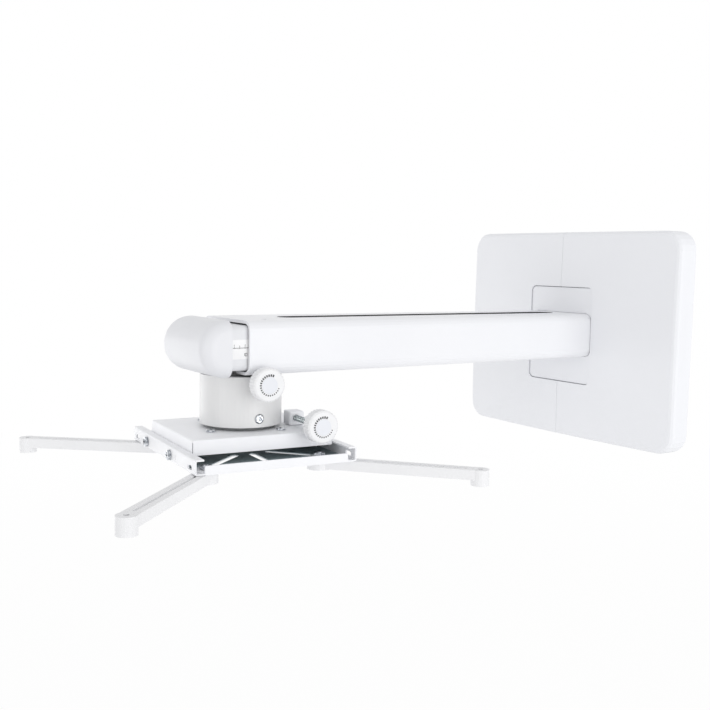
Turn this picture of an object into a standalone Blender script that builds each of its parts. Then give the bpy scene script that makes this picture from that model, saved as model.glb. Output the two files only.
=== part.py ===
# Projector wall mount: a telescoping arm on a covered wall plate, a round neck below
# its end, and a slotted plate with four spider arms that carry the projector.
# Metres, +Z up. The wall is the plane Y = 0 and the arm points along -Y.
import bpy
import bmesh
import math
from mathutils import Matrix, Vector

GAP = 0.0003            # between pieces that touch
RUNNING_GAP = 0.0006    # between pieces that slide past each other

# Wall plate and socket
WALL_PLATE_MARGIN_X = 0.0185
WALL_PLATE_MARGIN_Z = 0.01875
WALL_PLATE_THICKNESS = 0.004
WALL_PLATE_CORNER = 0.008
WALL_HOLE_RADIUS = 0.0045
WALL_SLOT_LENGTH = 0.022
WALL_HOLE_INSET_X = 0.024
WALL_HOLE_INSET_Z = 0.022
SOCKET_FLANGE_WIDTH = 0.136
SOCKET_FLANGE_HEIGHT = 0.098
SOCKET_FLANGE_THICKNESS = 0.005
SOCKET_FLANGE_CORNER = 0.006
SOCKET_LENGTH = 0.100
SOCKET_WALL = 0.003
SOCKET_BOLT_INSET = 0.012
SOCKET_BOLT_RADIUS = 0.004
SOCKET_BOLT_HEAD_RADIUS = 0.0073
SOCKET_BOLT_HEAD_HEIGHT = 0.0052

# Wall cover
COVER_WIDTH = 0.337
COVER_HEIGHT = 0.2495
COVER_CENTRE_Z = -0.0013
COVER_RIM_DEPTH = 0.0255
COVER_BOW = 0.0065
COVER_CROWN = 0.0015
COVER_WALL = 0.0025
COVER_WALL_GAP = 0.0005
COVER_CORNER = 0.022
COVER_EDGE = 0.0055
COVER_POST_RADIUS = 0.006
COVER_POST_INSET_X = 0.032
COVER_POST_INSET_Z = 0.048
OPENING_HEIGHT = 0.1170
OPENING_CORNER = 0.007
INSERT_THICKNESS = 0.0025
INSERT_GAP = 0.0008
INSERT_RECESS = 0.0022

# Fixed arm tube
ARM_WIDTH = 0.100
ARM_HEIGHT = 0.0516
ARM_WALL = 0.003
ARM_CORNER = 0.010
ARM_MOUTH_Y = -0.4875
CABLE_SLOT_WIDTH = 0.024
CABLE_SLOT_START_Y = -0.430
CABLE_SLOT_END_Y = -0.050
STRIP_RECESS = 0.0008
STRIP_END_Y = -0.140
LOCK_SCREW_X = 0.0305
LOCK_SCREW_Y = -0.4626
LOCK_SCREW_RADIUS = 0.0025
LOCK_SCREW_SINK = 0.0006

# Sliding tube and its glides
GLIDE_THICKNESS = 0.001
FRONT_GLIDE_LENGTH = 0.030
REAR_GLIDE_LENGTH = 0.014
GLIDE_INSET = 0.001
TUBE_WALL = 0.0025
TUBE_REAR_Y = -0.135
ARM_CLOSING_TRAVEL = 0.015

# End cap
CAP_WIDTH = 0.100
CAP_HEIGHT = 0.0536
CAP_CENTRE_Z = -0.0006
CAP_BACK_Y = -0.5053
CAP_STRAIGHT = 0.0025
CAP_SIDE_FILLET = 0.012
CAP_WALL = 0.003
TUBE_IN_CAP = 0.007

# Neck
NECK_Y = -0.471
NECK_YAW = math.radians(-3.4)
NECK_RADIUS = 0.0401
NECK_WALL = 0.0035
NECK_TOP_Z = -0.0282
NECK_BOTTOM_Z = -0.0766
SPIGOT_RADIUS = 0.0195
SPIGOT_PLUG_HEIGHT = 0.022
STUD_GROOVE_DEPTH = 0.002
NECK_BASE_HEIGHT = 0.0145
SPIGOT_BOLT_RADIUS = 0.0048
SPIGOT_BOLT_HEAD_RADIUS = 0.0085
SPIGOT_BOLT_HEAD_HEIGHT = 0.0055
SPIGOT_BOLT_LENGTH = 0.030
NECK_SCREW_TURN = math.radians(2.6)
NECK_SCREW_Z = -0.0684
NECK_SCREW_HEAD_RADIUS = 0.0046
NECK_SCREW_HEAD_HEIGHT = 0.0022
NECK_SCREW_RADIUS = 0.002
NECK_SCREW_LENGTH = 0.009

# Thumb knobs
KNOB_RADIUS = 0.0159
KNOB_THICKNESS = 0.0130
KNOB_FLUTES = 32
KNOB_FLUTE_DEPTH = 0.0005
KNOB_EDGE = 0.0014
KNOB_HUB_RADIUS = 0.0075
KNOB_HUB_LENGTH = 0.004
STUD_RADIUS = 0.003
STUD_IN_KNOB = 0.008
STUD_TIP = 0.001
NECK_KNOB_Z = -0.0330
NECK_KNOB_INNER_X = 0.0535
CLAMP_KNOB_INNER_X = 0.0710
CLAMP_Y = 0.0492
CLAMP_Z = -0.0725

# Turntable and tray
INTERFACE_YAW = math.radians(-4.9)
TURNTABLE_RADIUS = 0.034
PIVOT_BOLT_RADIUS = 0.0048
PIVOT_HEAD_RADIUS = 0.0085
PIVOT_HEAD_HEIGHT = 0.0045
PIVOT_NUT_HEIGHT = 0.006
PIVOT_BOLT_SPARE = 0.002
SHEET = 0.0015
TRAY_LENGTH_X = 0.122
TRAY_LENGTH_Y = 0.1426
TRAY_TOP_Z = -0.0802
TRAY_DEPTH = 0.0140
TRAY_SEAM = 0.0008
LUG_X = 0.0240
LUG_LENGTH = 0.0160
LUG_WIDTH = 0.0155
LUG_SHIFT_Y = 0.0012
LUG_HEIGHT = 0.0136
LUG_EDGE = 0.0012
STUD_BEHIND_LUG = 0.006
TRAY_SCREW_CIRCLE = 0.0476
TRAY_SCREW_TURN = math.radians(-58)
TRAY_SCREW_RADIUS = 0.0022
TRAY_SCREW_HEAD_RADIUS = 0.0045
TRAY_SCREW_HEAD_HEIGHT = 0.0018

# Projector plate
PLATE_LENGTH_X = 0.186
PLATE_LENGTH_Y = 0.160
PLATE_BOTTOM_Z = -0.1053
RAIL_HEIGHT = 0.0140
RAIL_PIVOT_INSET = 0.037
RAIL_LEVEL_INSET = 0.014
RAIL_SCREW_DROP = 0.0010
RAIL_SCREW_RADIUS = 0.002
RAIL_SCREW_HEAD_RADIUS = 0.0050
RAIL_SCREW_HEAD_HEIGHT = 0.0030
SPACER_RADIUS = 0.0036
EAR_RADIUS = 0.0038
FLANGE_HEIGHT = 0.0082
FLANGE_LENGTH = 0.1415
TILT_RANGE = math.radians(2.0)
RAIL_END_SLOT_INSET = 0.014
RAIL_END_SLOT_DROP = 0.0016
RAIL_END_SLOT_LENGTH = 0.0110
RAIL_END_SLOT_WIDTH = 0.0042
RAIL_MARK_OFFSET = 0.0155
RAIL_MARK_WIDTH = 0.0010
RAIL_MARK_HEIGHT = 0.0050
FRONT_SLOT_START = (0.0300, 0.0175)
FRONT_SLOT_INSET = (0.0165, 0.0140)
BACK_SLOT_START = (0.0250, 0.0190)
BACK_SLOT_INSET = (0.0225, 0.0155)
SLOT_WIDTH = 0.0070
CENTRE_SLOT_X = 0.045
CENTRE_SLOT_LENGTH = 0.030

# Spider arms
SPIDER_LENGTH = 0.155
SPIDER_WIDTH = 0.0155
SPIDER_HEIGHT = 0.0095
SPIDER_BOSS_RADIUS = 0.0115
SPIDER_BOSS_DROP = 0.0012
FOOT_RADIUS = 0.0086
FOOT_HEIGHT = 0.0150
FOOT_HOLE_RADIUS = 0.0026
GROOVE_WIDTH = 0.0030
GROOVE_DEPTH = 0.0016
GROOVE_FROM_BOSS = 0.020
GROOVE_FROM_FOOT = 0.013
SPIDER_BOLT_RADIUS = 0.003
SPIDER_BOLT_HEAD_RADIUS = 0.0075
SPIDER_BOLT_HEAD_HEIGHT = 0.0026
SPIDER_NUT_RADIUS = 0.0058
SPIDER_NUT_HEIGHT = 0.0030
SPIDER_BOLT_SPARE = 0.0008
# Name, side in X, side in Y, place of the bolt along its slot (0 to 1) and heading in degrees
SPIDER_ARMS = (
    ("front_left", -1, -1, 0.645, 234.9),
    ("front_right", 1, -1, 0.947, 318.2),
    ("back_right", 1, 1, 0.813, 46.7),
    ("back_left", -1, 1, 0.813, 133.3),
)

# Sizes that follow from the ones above
WALL_PLATE_WIDTH = COVER_WIDTH - 2 * WALL_PLATE_MARGIN_X
WALL_PLATE_HEIGHT = COVER_HEIGHT - 2 * WALL_PLATE_MARGIN_Z
COVER_POST_X = WALL_PLATE_WIDTH / 2 - COVER_POST_INSET_X
COVER_POST_Z = WALL_PLATE_HEIGHT / 2 - COVER_POST_INSET_Z
BORE_WIDTH = ARM_WIDTH - 2 * ARM_WALL
BORE_HEIGHT = ARM_HEIGHT - 2 * ARM_WALL
BORE_CORNER = ARM_CORNER - ARM_WALL
TUBE_INSET = 2 * GAP + GLIDE_THICKNESS
TUBE_WIDTH = BORE_WIDTH - 2 * TUBE_INSET
TUBE_HEIGHT = BORE_HEIGHT - 2 * TUBE_INSET
TUBE_CORNER = BORE_CORNER - TUBE_INSET
TUBE_FRONT_Y = CAP_BACK_Y - TUBE_IN_CAP
SOCKET_BACK_Y = -WALL_PLATE_THICKNESS - GAP
ARM_BACK_Y = SOCKET_BACK_Y - SOCKET_FLANGE_THICKNESS - GAP
COVER_DEPTH = COVER_RIM_DEPTH + COVER_BOW + COVER_CROWN
OPENING_WIDTH = ARM_WIDTH + 4 * GAP
INSERT_BACK_Y = -COVER_DEPTH + INSERT_RECESS + INSERT_THICKNESS
NECK_BORE = NECK_RADIUS - NECK_WALL
NOTCH_RADIUS = SPIGOT_RADIUS + 4 * RUNNING_GAP
TURNTABLE_TOP_Z = NECK_BOTTOM_Z - GAP
TRAY_FLOOR_Z = TRAY_TOP_Z - SHEET
RAIL_SCREW_Z = PLATE_BOTTOM_Z + RAIL_HEIGHT / 2 - RAIL_SCREW_DROP
RAIL_END_SLOT_Z = PLATE_BOTTOM_Z + RAIL_HEIGHT / 2 - RAIL_END_SLOT_DROP
PLATE_FLOOR_Z = PLATE_BOTTOM_Z + SHEET
WEB_INNER_Y = PLATE_LENGTH_Y / 2 - SHEET
SPIDER_TOP_Z = PLATE_BOTTOM_Z - GAP
RAIL_SCREWS = (TRAY_LENGTH_X / 2 - RAIL_PIVOT_INSET, RAIL_LEVEL_INSET - TRAY_LENGTH_X / 2)
RAIL_SCREW_SPAN = RAIL_SCREWS[0] - RAIL_SCREWS[1]
RAIL_MARK_X = RAIL_SCREWS[0] + RAIL_MARK_OFFSET
RAIL_END_SLOT_X = PLATE_LENGTH_X / 2 - RAIL_END_SLOT_INSET
FRONT_SLOT_END = (PLATE_LENGTH_X / 2 - FRONT_SLOT_INSET[0], PLATE_LENGTH_Y / 2 - FRONT_SLOT_INSET[1])
BACK_SLOT_END = (PLATE_LENGTH_X / 2 - BACK_SLOT_INSET[0], PLATE_LENGTH_Y / 2 - BACK_SLOT_INSET[1])

# Facets
ARC_STEPS = 5
COVER_TOP_SHARES = (0.35, 0.7)
COVER_SIDE_SHARES = (0.6, 0.2, -0.2, -0.6)
TURN_STEPS = 28
SMALL_STEPS = 16
BOLT_STEPS = 12
NECK_STEPS = 60
FOOT_STEPS = 20
CAP_ARC_STEPS = 14
CAP_FILLET_STEPS = 4
CORNER_STEPS = 5
CABLE_SLOT_STEPS = 12


def start_scene():
    for item in list(bpy.data.objects):
        bpy.data.objects.remove(item, do_unlink=True)
    parts = bpy.data.collections.new("projector_wall_mount")
    cutters = bpy.data.collections.new("cutters")
    bpy.context.scene.collection.children.link(parts)
    bpy.context.scene.collection.children.link(cutters)
    return parts, cutters


PARTS, CUTTERS = start_scene()


def make_material(name, colour, roughness, metallic):
    material = bpy.data.materials.new(name)
    material.use_nodes = True
    shader = material.node_tree.nodes["Principled BSDF"]
    shader.inputs["Base Color"].default_value = (*colour, 1.0)
    shader.inputs["Roughness"].default_value = roughness
    shader.inputs["Metallic"].default_value = metallic
    material.diffuse_color = (*colour, 1.0)
    return material


ARM_PAINT = make_material("white_arm_paint", (0.88, 0.88, 0.90), 0.38, 0.0)
SHEET_PAINT = make_material("white_sheet_paint", (0.87, 0.87, 0.89), 0.42, 0.0)
COVER_PLASTIC = make_material("white_cover_plastic", (0.84, 0.84, 0.86), 0.50, 0.0)
CAP_PLASTIC = make_material("white_cap_plastic", (0.80, 0.80, 0.82), 0.45, 0.0)
NECK_PAINT = make_material("grey_white_neck_paint", (0.76, 0.76, 0.76), 0.50, 0.0)
SPIDER_PAINT = make_material("white_spider_paint", (0.80, 0.80, 0.82), 0.45, 0.0)
KNOB_PLASTIC = make_material("white_knob_plastic", (0.84, 0.84, 0.85), 0.48, 0.0)
ZINC = make_material("zinc_steel", (0.58, 0.59, 0.60), 0.34, 1.0)
DARK_STEEL = make_material("dark_steel", (0.10, 0.10, 0.11), 0.45, 1.0)
GLIDE_PLASTIC = make_material("black_glide_plastic", (0.03, 0.03, 0.03), 0.55, 0.0)


def make_frame(name, location, yaw, parent=None):
    frame = bpy.data.objects.new(name, None)
    frame.location = location
    frame.rotation_euler = (0.0, 0.0, yaw)
    frame.parent = parent
    PARTS.objects.link(frame)
    return frame


def put(mesh, name, material, parent=None, smooth=True):
    item = bpy.data.objects.new(name, mesh)
    mesh.materials.clear()
    mesh.materials.append(material)
    if smooth:
        mesh.shade_smooth()
        mesh.set_sharp_from_angle(angle=math.radians(30))
    item.parent = parent
    PARTS.objects.link(item)
    return item


def keep_as_cutter(item):
    PARTS.objects.unlink(item)
    CUTTERS.objects.link(item)
    item.hide_render = True
    item.display_type = "WIRE"
    return item


def combine(target, other, operation):
    step = target.modifiers.new(operation.lower(), "BOOLEAN")
    step.operation = operation
    step.solver = "EXACT"
    step.object = other


def cut(target, *others):
    for other in others:
        combine(target, other, "DIFFERENCE")


def join(target, *others):
    for other in others:
        combine(target, other, "UNION")


# Outlines, as lists of points in a plane
def arc(cx, cy, radius, start, end, steps):
    points = []
    for i in range(steps + 1):
        angle = math.radians(start + (end - start) * i / steps)
        points.append((cx + radius * math.cos(angle), cy + radius * math.sin(angle)))
    return points


def circle(cx, cy, radius, steps=SMALL_STEPS):
    return arc(cx, cy, radius, 0, 360, steps)[:-1]


def rounded_box(width, height, radius, cx=0.0, cy=0.0, steps=ARC_STEPS):
    x = width / 2 - radius
    y = height / 2 - radius
    points = arc(cx + x, cy + y, radius, 0, 90, steps)
    points += arc(cx - x, cy + y, radius, 90, 180, steps)
    points += arc(cx - x, cy - y, radius, 180, 270, steps)
    points += arc(cx + x, cy - y, radius, 270, 360, steps)
    return points


def slot(start, end, width, steps=ARC_STEPS):
    heading = math.degrees(math.atan2(end[1] - start[1], end[0] - start[0]))
    points = arc(end[0], end[1], width / 2, heading - 90, heading + 90, steps)
    points += arc(start[0], start[1], width / 2, heading + 90, heading + 270, steps)
    return points


def span(a, b):
    return min(a, b), max(a, b)


def hexagon(cx, cy, radius):
    return circle(cx, cy, radius, 6)


# Planes that an outline is drawn in: its x, its y and the way it grows
LEVEL = Matrix(((1, 0, 0), (0, 1, 0), (0, 0, 1))).to_4x4()
UPRIGHT = Matrix(((1, 0, 0), (0, 0, -1), (0, 1, 0))).to_4x4()
SIDEWAYS = Matrix(((0, 0, 1), (1, 0, 0), (0, 1, 0))).to_4x4()


def outline_mesh(name, outer, holes, low, high, plane):
    curve = bpy.data.curves.new(name, "CURVE")
    curve.dimensions = "2D"
    curve.fill_mode = "BOTH"
    curve.extrude = (high - low) / 2
    for outline in [outer] + list(holes):
        spline = curve.splines.new("POLY")
        spline.points.add(len(outline) - 1)
        for point, (x, y) in zip(spline.points, outline):
            point.co = (x, y, 0.0, 1.0)
        spline.use_cyclic_u = True
    drawing = bpy.data.objects.new(name, curve)
    CUTTERS.objects.link(drawing)
    graph = bpy.context.evaluated_depsgraph_get()
    mesh = bpy.data.meshes.new_from_object(drawing.evaluated_get(graph))
    bpy.data.objects.remove(drawing, do_unlink=True)
    mesh.transform(plane @ Matrix.Translation((0.0, 0.0, (high + low) / 2)))
    work = bmesh.new()
    work.from_mesh(mesh)
    bmesh.ops.remove_doubles(work, verts=work.verts, dist=0.00001)
    if not holes:
        bmesh.ops.dissolve_limit(
            work, angle_limit=math.radians(0.5), verts=work.verts, edges=work.edges)
    bmesh.ops.recalc_face_normals(work, faces=work.faces)
    work.to_mesh(mesh)
    work.free()
    return mesh


def outline_piece(name, material, outer, holes, low, high, plane=LEVEL, parent=None, at=None):
    item = put(outline_mesh(name, outer, holes, low, high, plane), name, material, parent)
    if at is not None:
        item.location = at
    return item


def outline_cutter(name, outer, low, high, plane=LEVEL, parent=None, at=None):
    item = outline_piece(name, DARK_STEEL, outer, [], low, high, plane, parent, at)
    return keep_as_cutter(item)


def box_cutter(name, low, high, parent=None):
    centre = (Vector(low) + Vector(high)) / 2
    size = Vector(high) - Vector(low)
    work = bmesh.new()
    bmesh.ops.create_cube(work, size=1.0, matrix=Matrix.Diagonal((*size, 1.0)))
    mesh = bpy.data.meshes.new(name)
    work.to_mesh(mesh)
    work.free()
    item = put(mesh, name, DARK_STEEL, parent, smooth=False)
    item.location = centre
    return keep_as_cutter(item)


def box_piece(name, material, low, high, parent=None, edge=0.0):
    centre = (Vector(low) + Vector(high)) / 2
    size = Vector(high) - Vector(low)
    work = bmesh.new()
    bmesh.ops.create_cube(work, size=1.0, matrix=Matrix.Diagonal((*size, 1.0)))
    mesh = bpy.data.meshes.new(name)
    work.to_mesh(mesh)
    work.free()
    item = put(mesh, name, material, parent)
    item.location = centre
    if edge:
        bevel = item.modifiers.new("edges", "BEVEL")
        bevel.width = edge
        bevel.segments = 2
    return item


def turned_piece(name, material, profile, parent=None, at=(0, 0, 0), turn=(0, 0, 0), steps=TURN_STEPS):
    # The profile runs down the outer side from the top on the axis to the bottom on it.
    mesh = bpy.data.meshes.new(name)
    rings = [(radius, 0.0, height) for radius, height in profile]
    mesh.from_pydata(rings, [(i, i + 1) for i in range(len(rings) - 1)], [])
    item = put(mesh, name, material, parent, smooth=False)
    screw = item.modifiers.new("turn", "SCREW")
    screw.axis = "Z"
    screw.steps = steps
    screw.render_steps = steps
    screw.use_merge_vertices = True
    screw.merge_threshold = 0.00001
    screw.use_smooth_shade = True
    item.location = at
    item.rotation_euler = turn
    return item


def turned_ring(name, material, profile, parent=None, at=(0, 0, 0), steps=TURN_STEPS):
    # A closed profile that stays off the axis, such as a tube's wall.
    return turned_piece(name, material, list(profile) + [profile[0]], parent, at, steps=steps)


ALONG_X = (0.0, math.radians(90), 0.0)
ALONG_MINUS_X = (0.0, math.radians(-90), 0.0)
ALONG_Y = (math.radians(-90), 0.0, 0.0)
ALONG_MINUS_Y = (math.radians(90), 0.0, 0.0)


def pan_profile(head_radius, head_height, shank_radius, shank_length):
    # The head stands above zero and the shank hangs below it.
    edge = head_height * 0.35
    return [
        (0.0, head_height), (head_radius - 1.6 * edge, head_height),
        (head_radius - 0.4 * edge, head_height - 0.5 * edge), (head_radius, head_height - 1.4 * edge),
        (head_radius, 0.0), (shank_radius, 0.0), (shank_radius, -shank_length), (0.0, -shank_length)]


def pan_screw(name, material, head_radius, head_height, shank_radius, shank_length, parent, at, turn):
    screw = turned_piece(
        name, material, pan_profile(head_radius, head_height, shank_radius, shank_length),
        parent, at, turn, BOLT_STEPS)
    arm = head_radius * 0.55
    half = head_radius * 0.11
    for tag, size in (("a", (arm, half)), ("b", (half, arm))):
        bar = box_cutter(
            name + "_cross_" + tag, (-size[0], -size[1], head_height * 0.45),
            (size[0], size[1], head_height * 1.5), parent)
        bar.location = (0, 0, 0)
        bar.data.transform(Matrix.Translation((0, 0, head_height * 0.975)))
        bar.location = at
        bar.rotation_euler = turn
        cut(screw, bar)
    return screw


def hex_piece(name, material, radius, height, shank_radius, shank_length, parent, at):
    # A hexagonal head whose underside is at the height of its place, with a shank below.
    head = outline_piece(name, material, hexagon(0, 0, radius), [], 0.0, height, LEVEL, parent, at)
    shank = outline_cutter(
        name + "_shank", circle(0, 0, shank_radius, BOLT_STEPS), -shank_length, height / 2,
        LEVEL, parent, at)
    join(head, shank)
    return head


def nut_piece(name, material, radius, height, hole_radius, parent, at):
    return outline_piece(
        name, material, hexagon(0, 0, radius), [circle(0, 0, hole_radius, BOLT_STEPS)],
        0.0, height, LEVEL, parent, at)


# Wall end
def make_wall_plate():
    x = WALL_PLATE_WIDTH / 2 - WALL_HOLE_INSET_X
    z = WALL_PLATE_HEIGHT / 2 - WALL_HOLE_INSET_Z
    reach = WALL_SLOT_LENGTH / 2 - WALL_HOLE_RADIUS
    holes = []
    for sx in (-1, 1):
        for sz in (-1, 1):
            start = (sx * x - reach, sz * z)
            end = (sx * x + reach, sz * z)
            holes.append(slot(start, end, 2 * WALL_HOLE_RADIUS))
    for x, z in socket_bolt_places():
        holes.append(circle(x, z, SOCKET_BOLT_RADIUS + GAP))
    outline_piece(
        "wall_plate", ZINC, rounded_box(WALL_PLATE_WIDTH, WALL_PLATE_HEIGHT, WALL_PLATE_CORNER), holes,
        0.0, WALL_PLATE_THICKNESS, UPRIGHT)


def socket_bolt_places():
    x = SOCKET_FLANGE_WIDTH / 2 - SOCKET_BOLT_INSET
    z = SOCKET_FLANGE_HEIGHT / 2 - SOCKET_BOLT_INSET
    return [(-x, -z), (x, -z), (x, z), (-x, z)]


def make_socket():
    holes = [circle(x, z, SOCKET_BOLT_RADIUS + GAP) for x, z in socket_bolt_places()]
    front = -SOCKET_BACK_Y + SOCKET_FLANGE_THICKNESS
    flange = rounded_box(SOCKET_FLANGE_WIDTH, SOCKET_FLANGE_HEIGHT, SOCKET_FLANGE_CORNER)
    socket = outline_piece("arm_socket", DARK_STEEL, flange, holes, -SOCKET_BACK_Y, front, UPRIGHT)
    width = BORE_WIDTH - 2 * GAP
    height = BORE_HEIGHT - 2 * GAP
    sleeve = outline_cutter(
        "socket_sleeve", rounded_box(width, height, BORE_CORNER - GAP),
        front - SOCKET_FLANGE_THICKNESS / 2, front + SOCKET_LENGTH, UPRIGHT)
    hollow = outline_cutter(
        "socket_hollow",
        rounded_box(width - 2 * SOCKET_WALL, height - 2 * SOCKET_WALL, BORE_CORNER - SOCKET_WALL),
        front - 2 * SOCKET_FLANGE_THICKNESS, front + 2 * SOCKET_LENGTH, UPRIGHT)
    join(socket, sleeve)
    cut(socket, hollow)
    length = SOCKET_FLANGE_THICKNESS + GAP + WALL_PLATE_THICKNESS - 2 * GAP
    for number, (x, z) in enumerate(socket_bolt_places(), 1):
        bolt = hex_piece(
            "socket_bolt_%d" % number, ZINC, SOCKET_BOLT_HEAD_RADIUS, SOCKET_BOLT_HEAD_HEIGHT,
            SOCKET_BOLT_RADIUS, length, None, (0, 0, 0))
        place = Matrix.Translation((x, -front - GAP, z)) @ Matrix.Rotation(math.radians(90), 4, "X")
        bolt.matrix_world = place
        bolt.modifiers[0].object.matrix_world = place


def cover_front_depth(x, z):
    # Bowed from side to side, with a little crown from top to bottom.
    bow = 1 - (2 * x / COVER_WIDTH) ** 2
    crown = 1 - (2 * z / COVER_HEIGHT) ** 2
    return COVER_RIM_DEPTH + COVER_BOW * bow + COVER_CROWN * crown


def half_outline(width, height, radius, inset):
    # From the seam at the top, round the +X side, to the seam at the bottom.
    x = width / 2 - radius
    z = height / 2 - radius
    reach = radius - inset
    top = [(GAP / 2, z + reach)] + [(x * share, z + reach) for share in COVER_TOP_SHARES]
    points = list(top)
    points += [(x + a, z + b) for a, b in arc(0, 0, reach, 90, 0, CORNER_STEPS)]
    points += [(x + reach, z * share) for share in COVER_SIDE_SHARES]
    points += [(x + a, -z + b) for a, b in arc(0, 0, reach, 0, -90, CORNER_STEPS)]
    points += [(a, -b) for a, b in reversed(top)]
    return points


def make_cover_half(name, side):
    # A skin lofted from the wall, up the rim, over its rounded edge and in to the opening.
    outer = half_outline(COVER_WIDTH, COVER_HEIGHT, COVER_CORNER, 0.0)
    opening = half_outline(OPENING_WIDTH, OPENING_HEIGHT, OPENING_CORNER, 0.0)
    rings = [[(x, COVER_WALL_GAP, z) for x, z in outer]]
    for degrees in (0, 30, 60, 90):
        angle = math.radians(degrees)
        inset = COVER_EDGE * (1 - math.cos(angle))
        fall = COVER_EDGE * (1 - math.sin(angle))
        around = half_outline(COVER_WIDTH, COVER_HEIGHT, COVER_CORNER, inset)
        rings.append([(x, cover_front_depth(x, z) - fall, z) for x, z in around])
    edge = half_outline(COVER_WIDTH, COVER_HEIGHT, COVER_CORNER, COVER_EDGE)
    for share in (0.25, 0.5, 0.75, 1.0):
        ring = []
        for (x1, z1), (x2, z2) in zip(edge, opening):
            x = x1 + (x2 - x1) * share
            z = z1 + (z2 - z1) * share
            ring.append((x, cover_front_depth(x, z), z))
        rings.append(ring)
    work = bmesh.new()
    grid = [[work.verts.new((side * x, -y, z + COVER_CENTRE_Z)) for x, y, z in ring] for ring in rings]
    for low, high in zip(grid, grid[1:]):
        for a in range(len(low) - 1):
            work.faces.new((low[a], low[a + 1], high[a + 1], high[a]))
    bmesh.ops.recalc_face_normals(work, faces=work.faces)
    middle = min(work.faces, key=lambda face: face.calc_center_median().y)
    if middle.normal.y > 0:
        bmesh.ops.reverse_faces(work, faces=work.faces)
    mesh = bpy.data.meshes.new(name)
    work.to_mesh(mesh)
    work.free()
    half = put(mesh, name, COVER_PLASTIC)
    wall = half.modifiers.new("wall", "SOLIDIFY")
    wall.thickness = COVER_WALL
    wall.offset = -1.0
    wall.use_even_offset = True
    for tag, z in (("low", -COVER_POST_Z), ("high", COVER_POST_Z)):
        post_end = cover_front_depth(COVER_POST_X, z) - COVER_WALL * 0.7
        post = outline_cutter(
            name + "_post_" + tag, circle(side * COVER_POST_X, z, COVER_POST_RADIUS, BOLT_STEPS),
            WALL_PLATE_THICKNESS + GAP, post_end, UPRIGHT)
        join(half, post)


def make_inserts():
    # Two flush plates close the opening above and below the arm.
    front = -INSERT_BACK_Y + INSERT_THICKNESS
    outer = rounded_box(
        OPENING_WIDTH - 2 * INSERT_GAP, OPENING_HEIGHT - 2 * INSERT_GAP, OPENING_CORNER - INSERT_GAP,
        0.0, COVER_CENTRE_Z)
    arm = rounded_box(ARM_WIDTH + 2 * GAP, ARM_HEIGHT + 2 * GAP, ARM_CORNER + GAP)
    for name, side in (("cover_insert", 1), ("cover_insert_low", -1)):
        plate = outline_piece(name, COVER_PLASTIC, outer, [], -INSERT_BACK_Y, front, UPRIGHT)
        room = outline_cutter(name + "_arm_room", arm, 0.0, 2 * COVER_DEPTH, UPRIGHT)
        low, high = span(side * (ARM_HEIGHT / 2 - ARM_CORNER / 2), -side * OPENING_HEIGHT)
        other_half = box_cutter(
            name + "_other_half", (-OPENING_WIDTH, -2 * COVER_DEPTH, low), (OPENING_WIDTH, 0.0, high))
        cut(plate, room, other_half)


# Arm
def make_arm_tube():
    tube = outline_piece(
        "arm_tube", ARM_PAINT, rounded_box(ARM_WIDTH, ARM_HEIGHT, ARM_CORNER),
        [rounded_box(BORE_WIDTH, BORE_HEIGHT, BORE_CORNER)], -ARM_BACK_Y, -ARM_MOUTH_Y, UPRIGHT)
    reach = CABLE_SLOT_WIDTH / 2
    opening = slot(
        (0, CABLE_SLOT_START_Y + reach), (0, CABLE_SLOT_END_Y - reach), CABLE_SLOT_WIDTH, CABLE_SLOT_STEPS)
    cable_slot = outline_cutter("cable_slot", opening, ARM_HEIGHT / 2 - 2 * ARM_WALL, ARM_HEIGHT)
    cut(tube, cable_slot, notch_cutter("arm_notch"), *lock_screw_holes("arm_lock_hole"))


def make_slot_strip():
    # A black strip closes the cable slot from its front end back to the cable inlet.
    half = CABLE_SLOT_WIDTH / 2 - GAP
    front = CABLE_SLOT_START_Y + CABLE_SLOT_WIDTH / 2
    outline = [(half, STRIP_END_Y), (-half, STRIP_END_Y)] + arc(0, front, half, 180, 360, CABLE_SLOT_STEPS)
    outline_piece(
        "slot_strip", GLIDE_PLASTIC, outline, [], BORE_HEIGHT / 2 + GAP, ARM_HEIGHT / 2 - STRIP_RECESS)


def notch_cutter(name):
    # Lets the spigot move in when the arm is closed up.
    end = NECK_Y + ARM_CLOSING_TRAVEL
    return outline_cutter(
        name, slot((0, ARM_MOUTH_Y - 2 * NOTCH_RADIUS), (0, end), 2 * NOTCH_RADIUS, 10),
        -ARM_HEIGHT, -BORE_HEIGHT / 2 + TUBE_INSET - GAP / 2)


def lock_screw_holes(name):
    return [
        outline_cutter(
            "%s_%d" % (name, number), circle(side * LOCK_SCREW_X, LOCK_SCREW_Y, LOCK_SCREW_RADIUS + GAP),
            TUBE_HEIGHT / 2, ARM_HEIGHT)
        for number, side in ((1, -1), (2, 1))]


def make_lock_screws():
    # Grub screws through the arm's top, sunk below it, that press on the sliding tube.
    low = TUBE_HEIGHT / 2 + GAP
    high = ARM_HEIGHT / 2 - LOCK_SCREW_SINK
    for number, side in ((1, -1), (2, 1)):
        name = "arm_lock_screw_%d" % number
        screw = outline_piece(
            name, ZINC, circle(side * LOCK_SCREW_X, LOCK_SCREW_Y, LOCK_SCREW_RADIUS, BOLT_STEPS), [],
            low, high)
        socket = outline_cutter(
            name + "_socket", hexagon(side * LOCK_SCREW_X, LOCK_SCREW_Y, LOCK_SCREW_RADIUS * 0.55),
            (low + high) / 2, 2 * high)
        cut(screw, socket)


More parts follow.
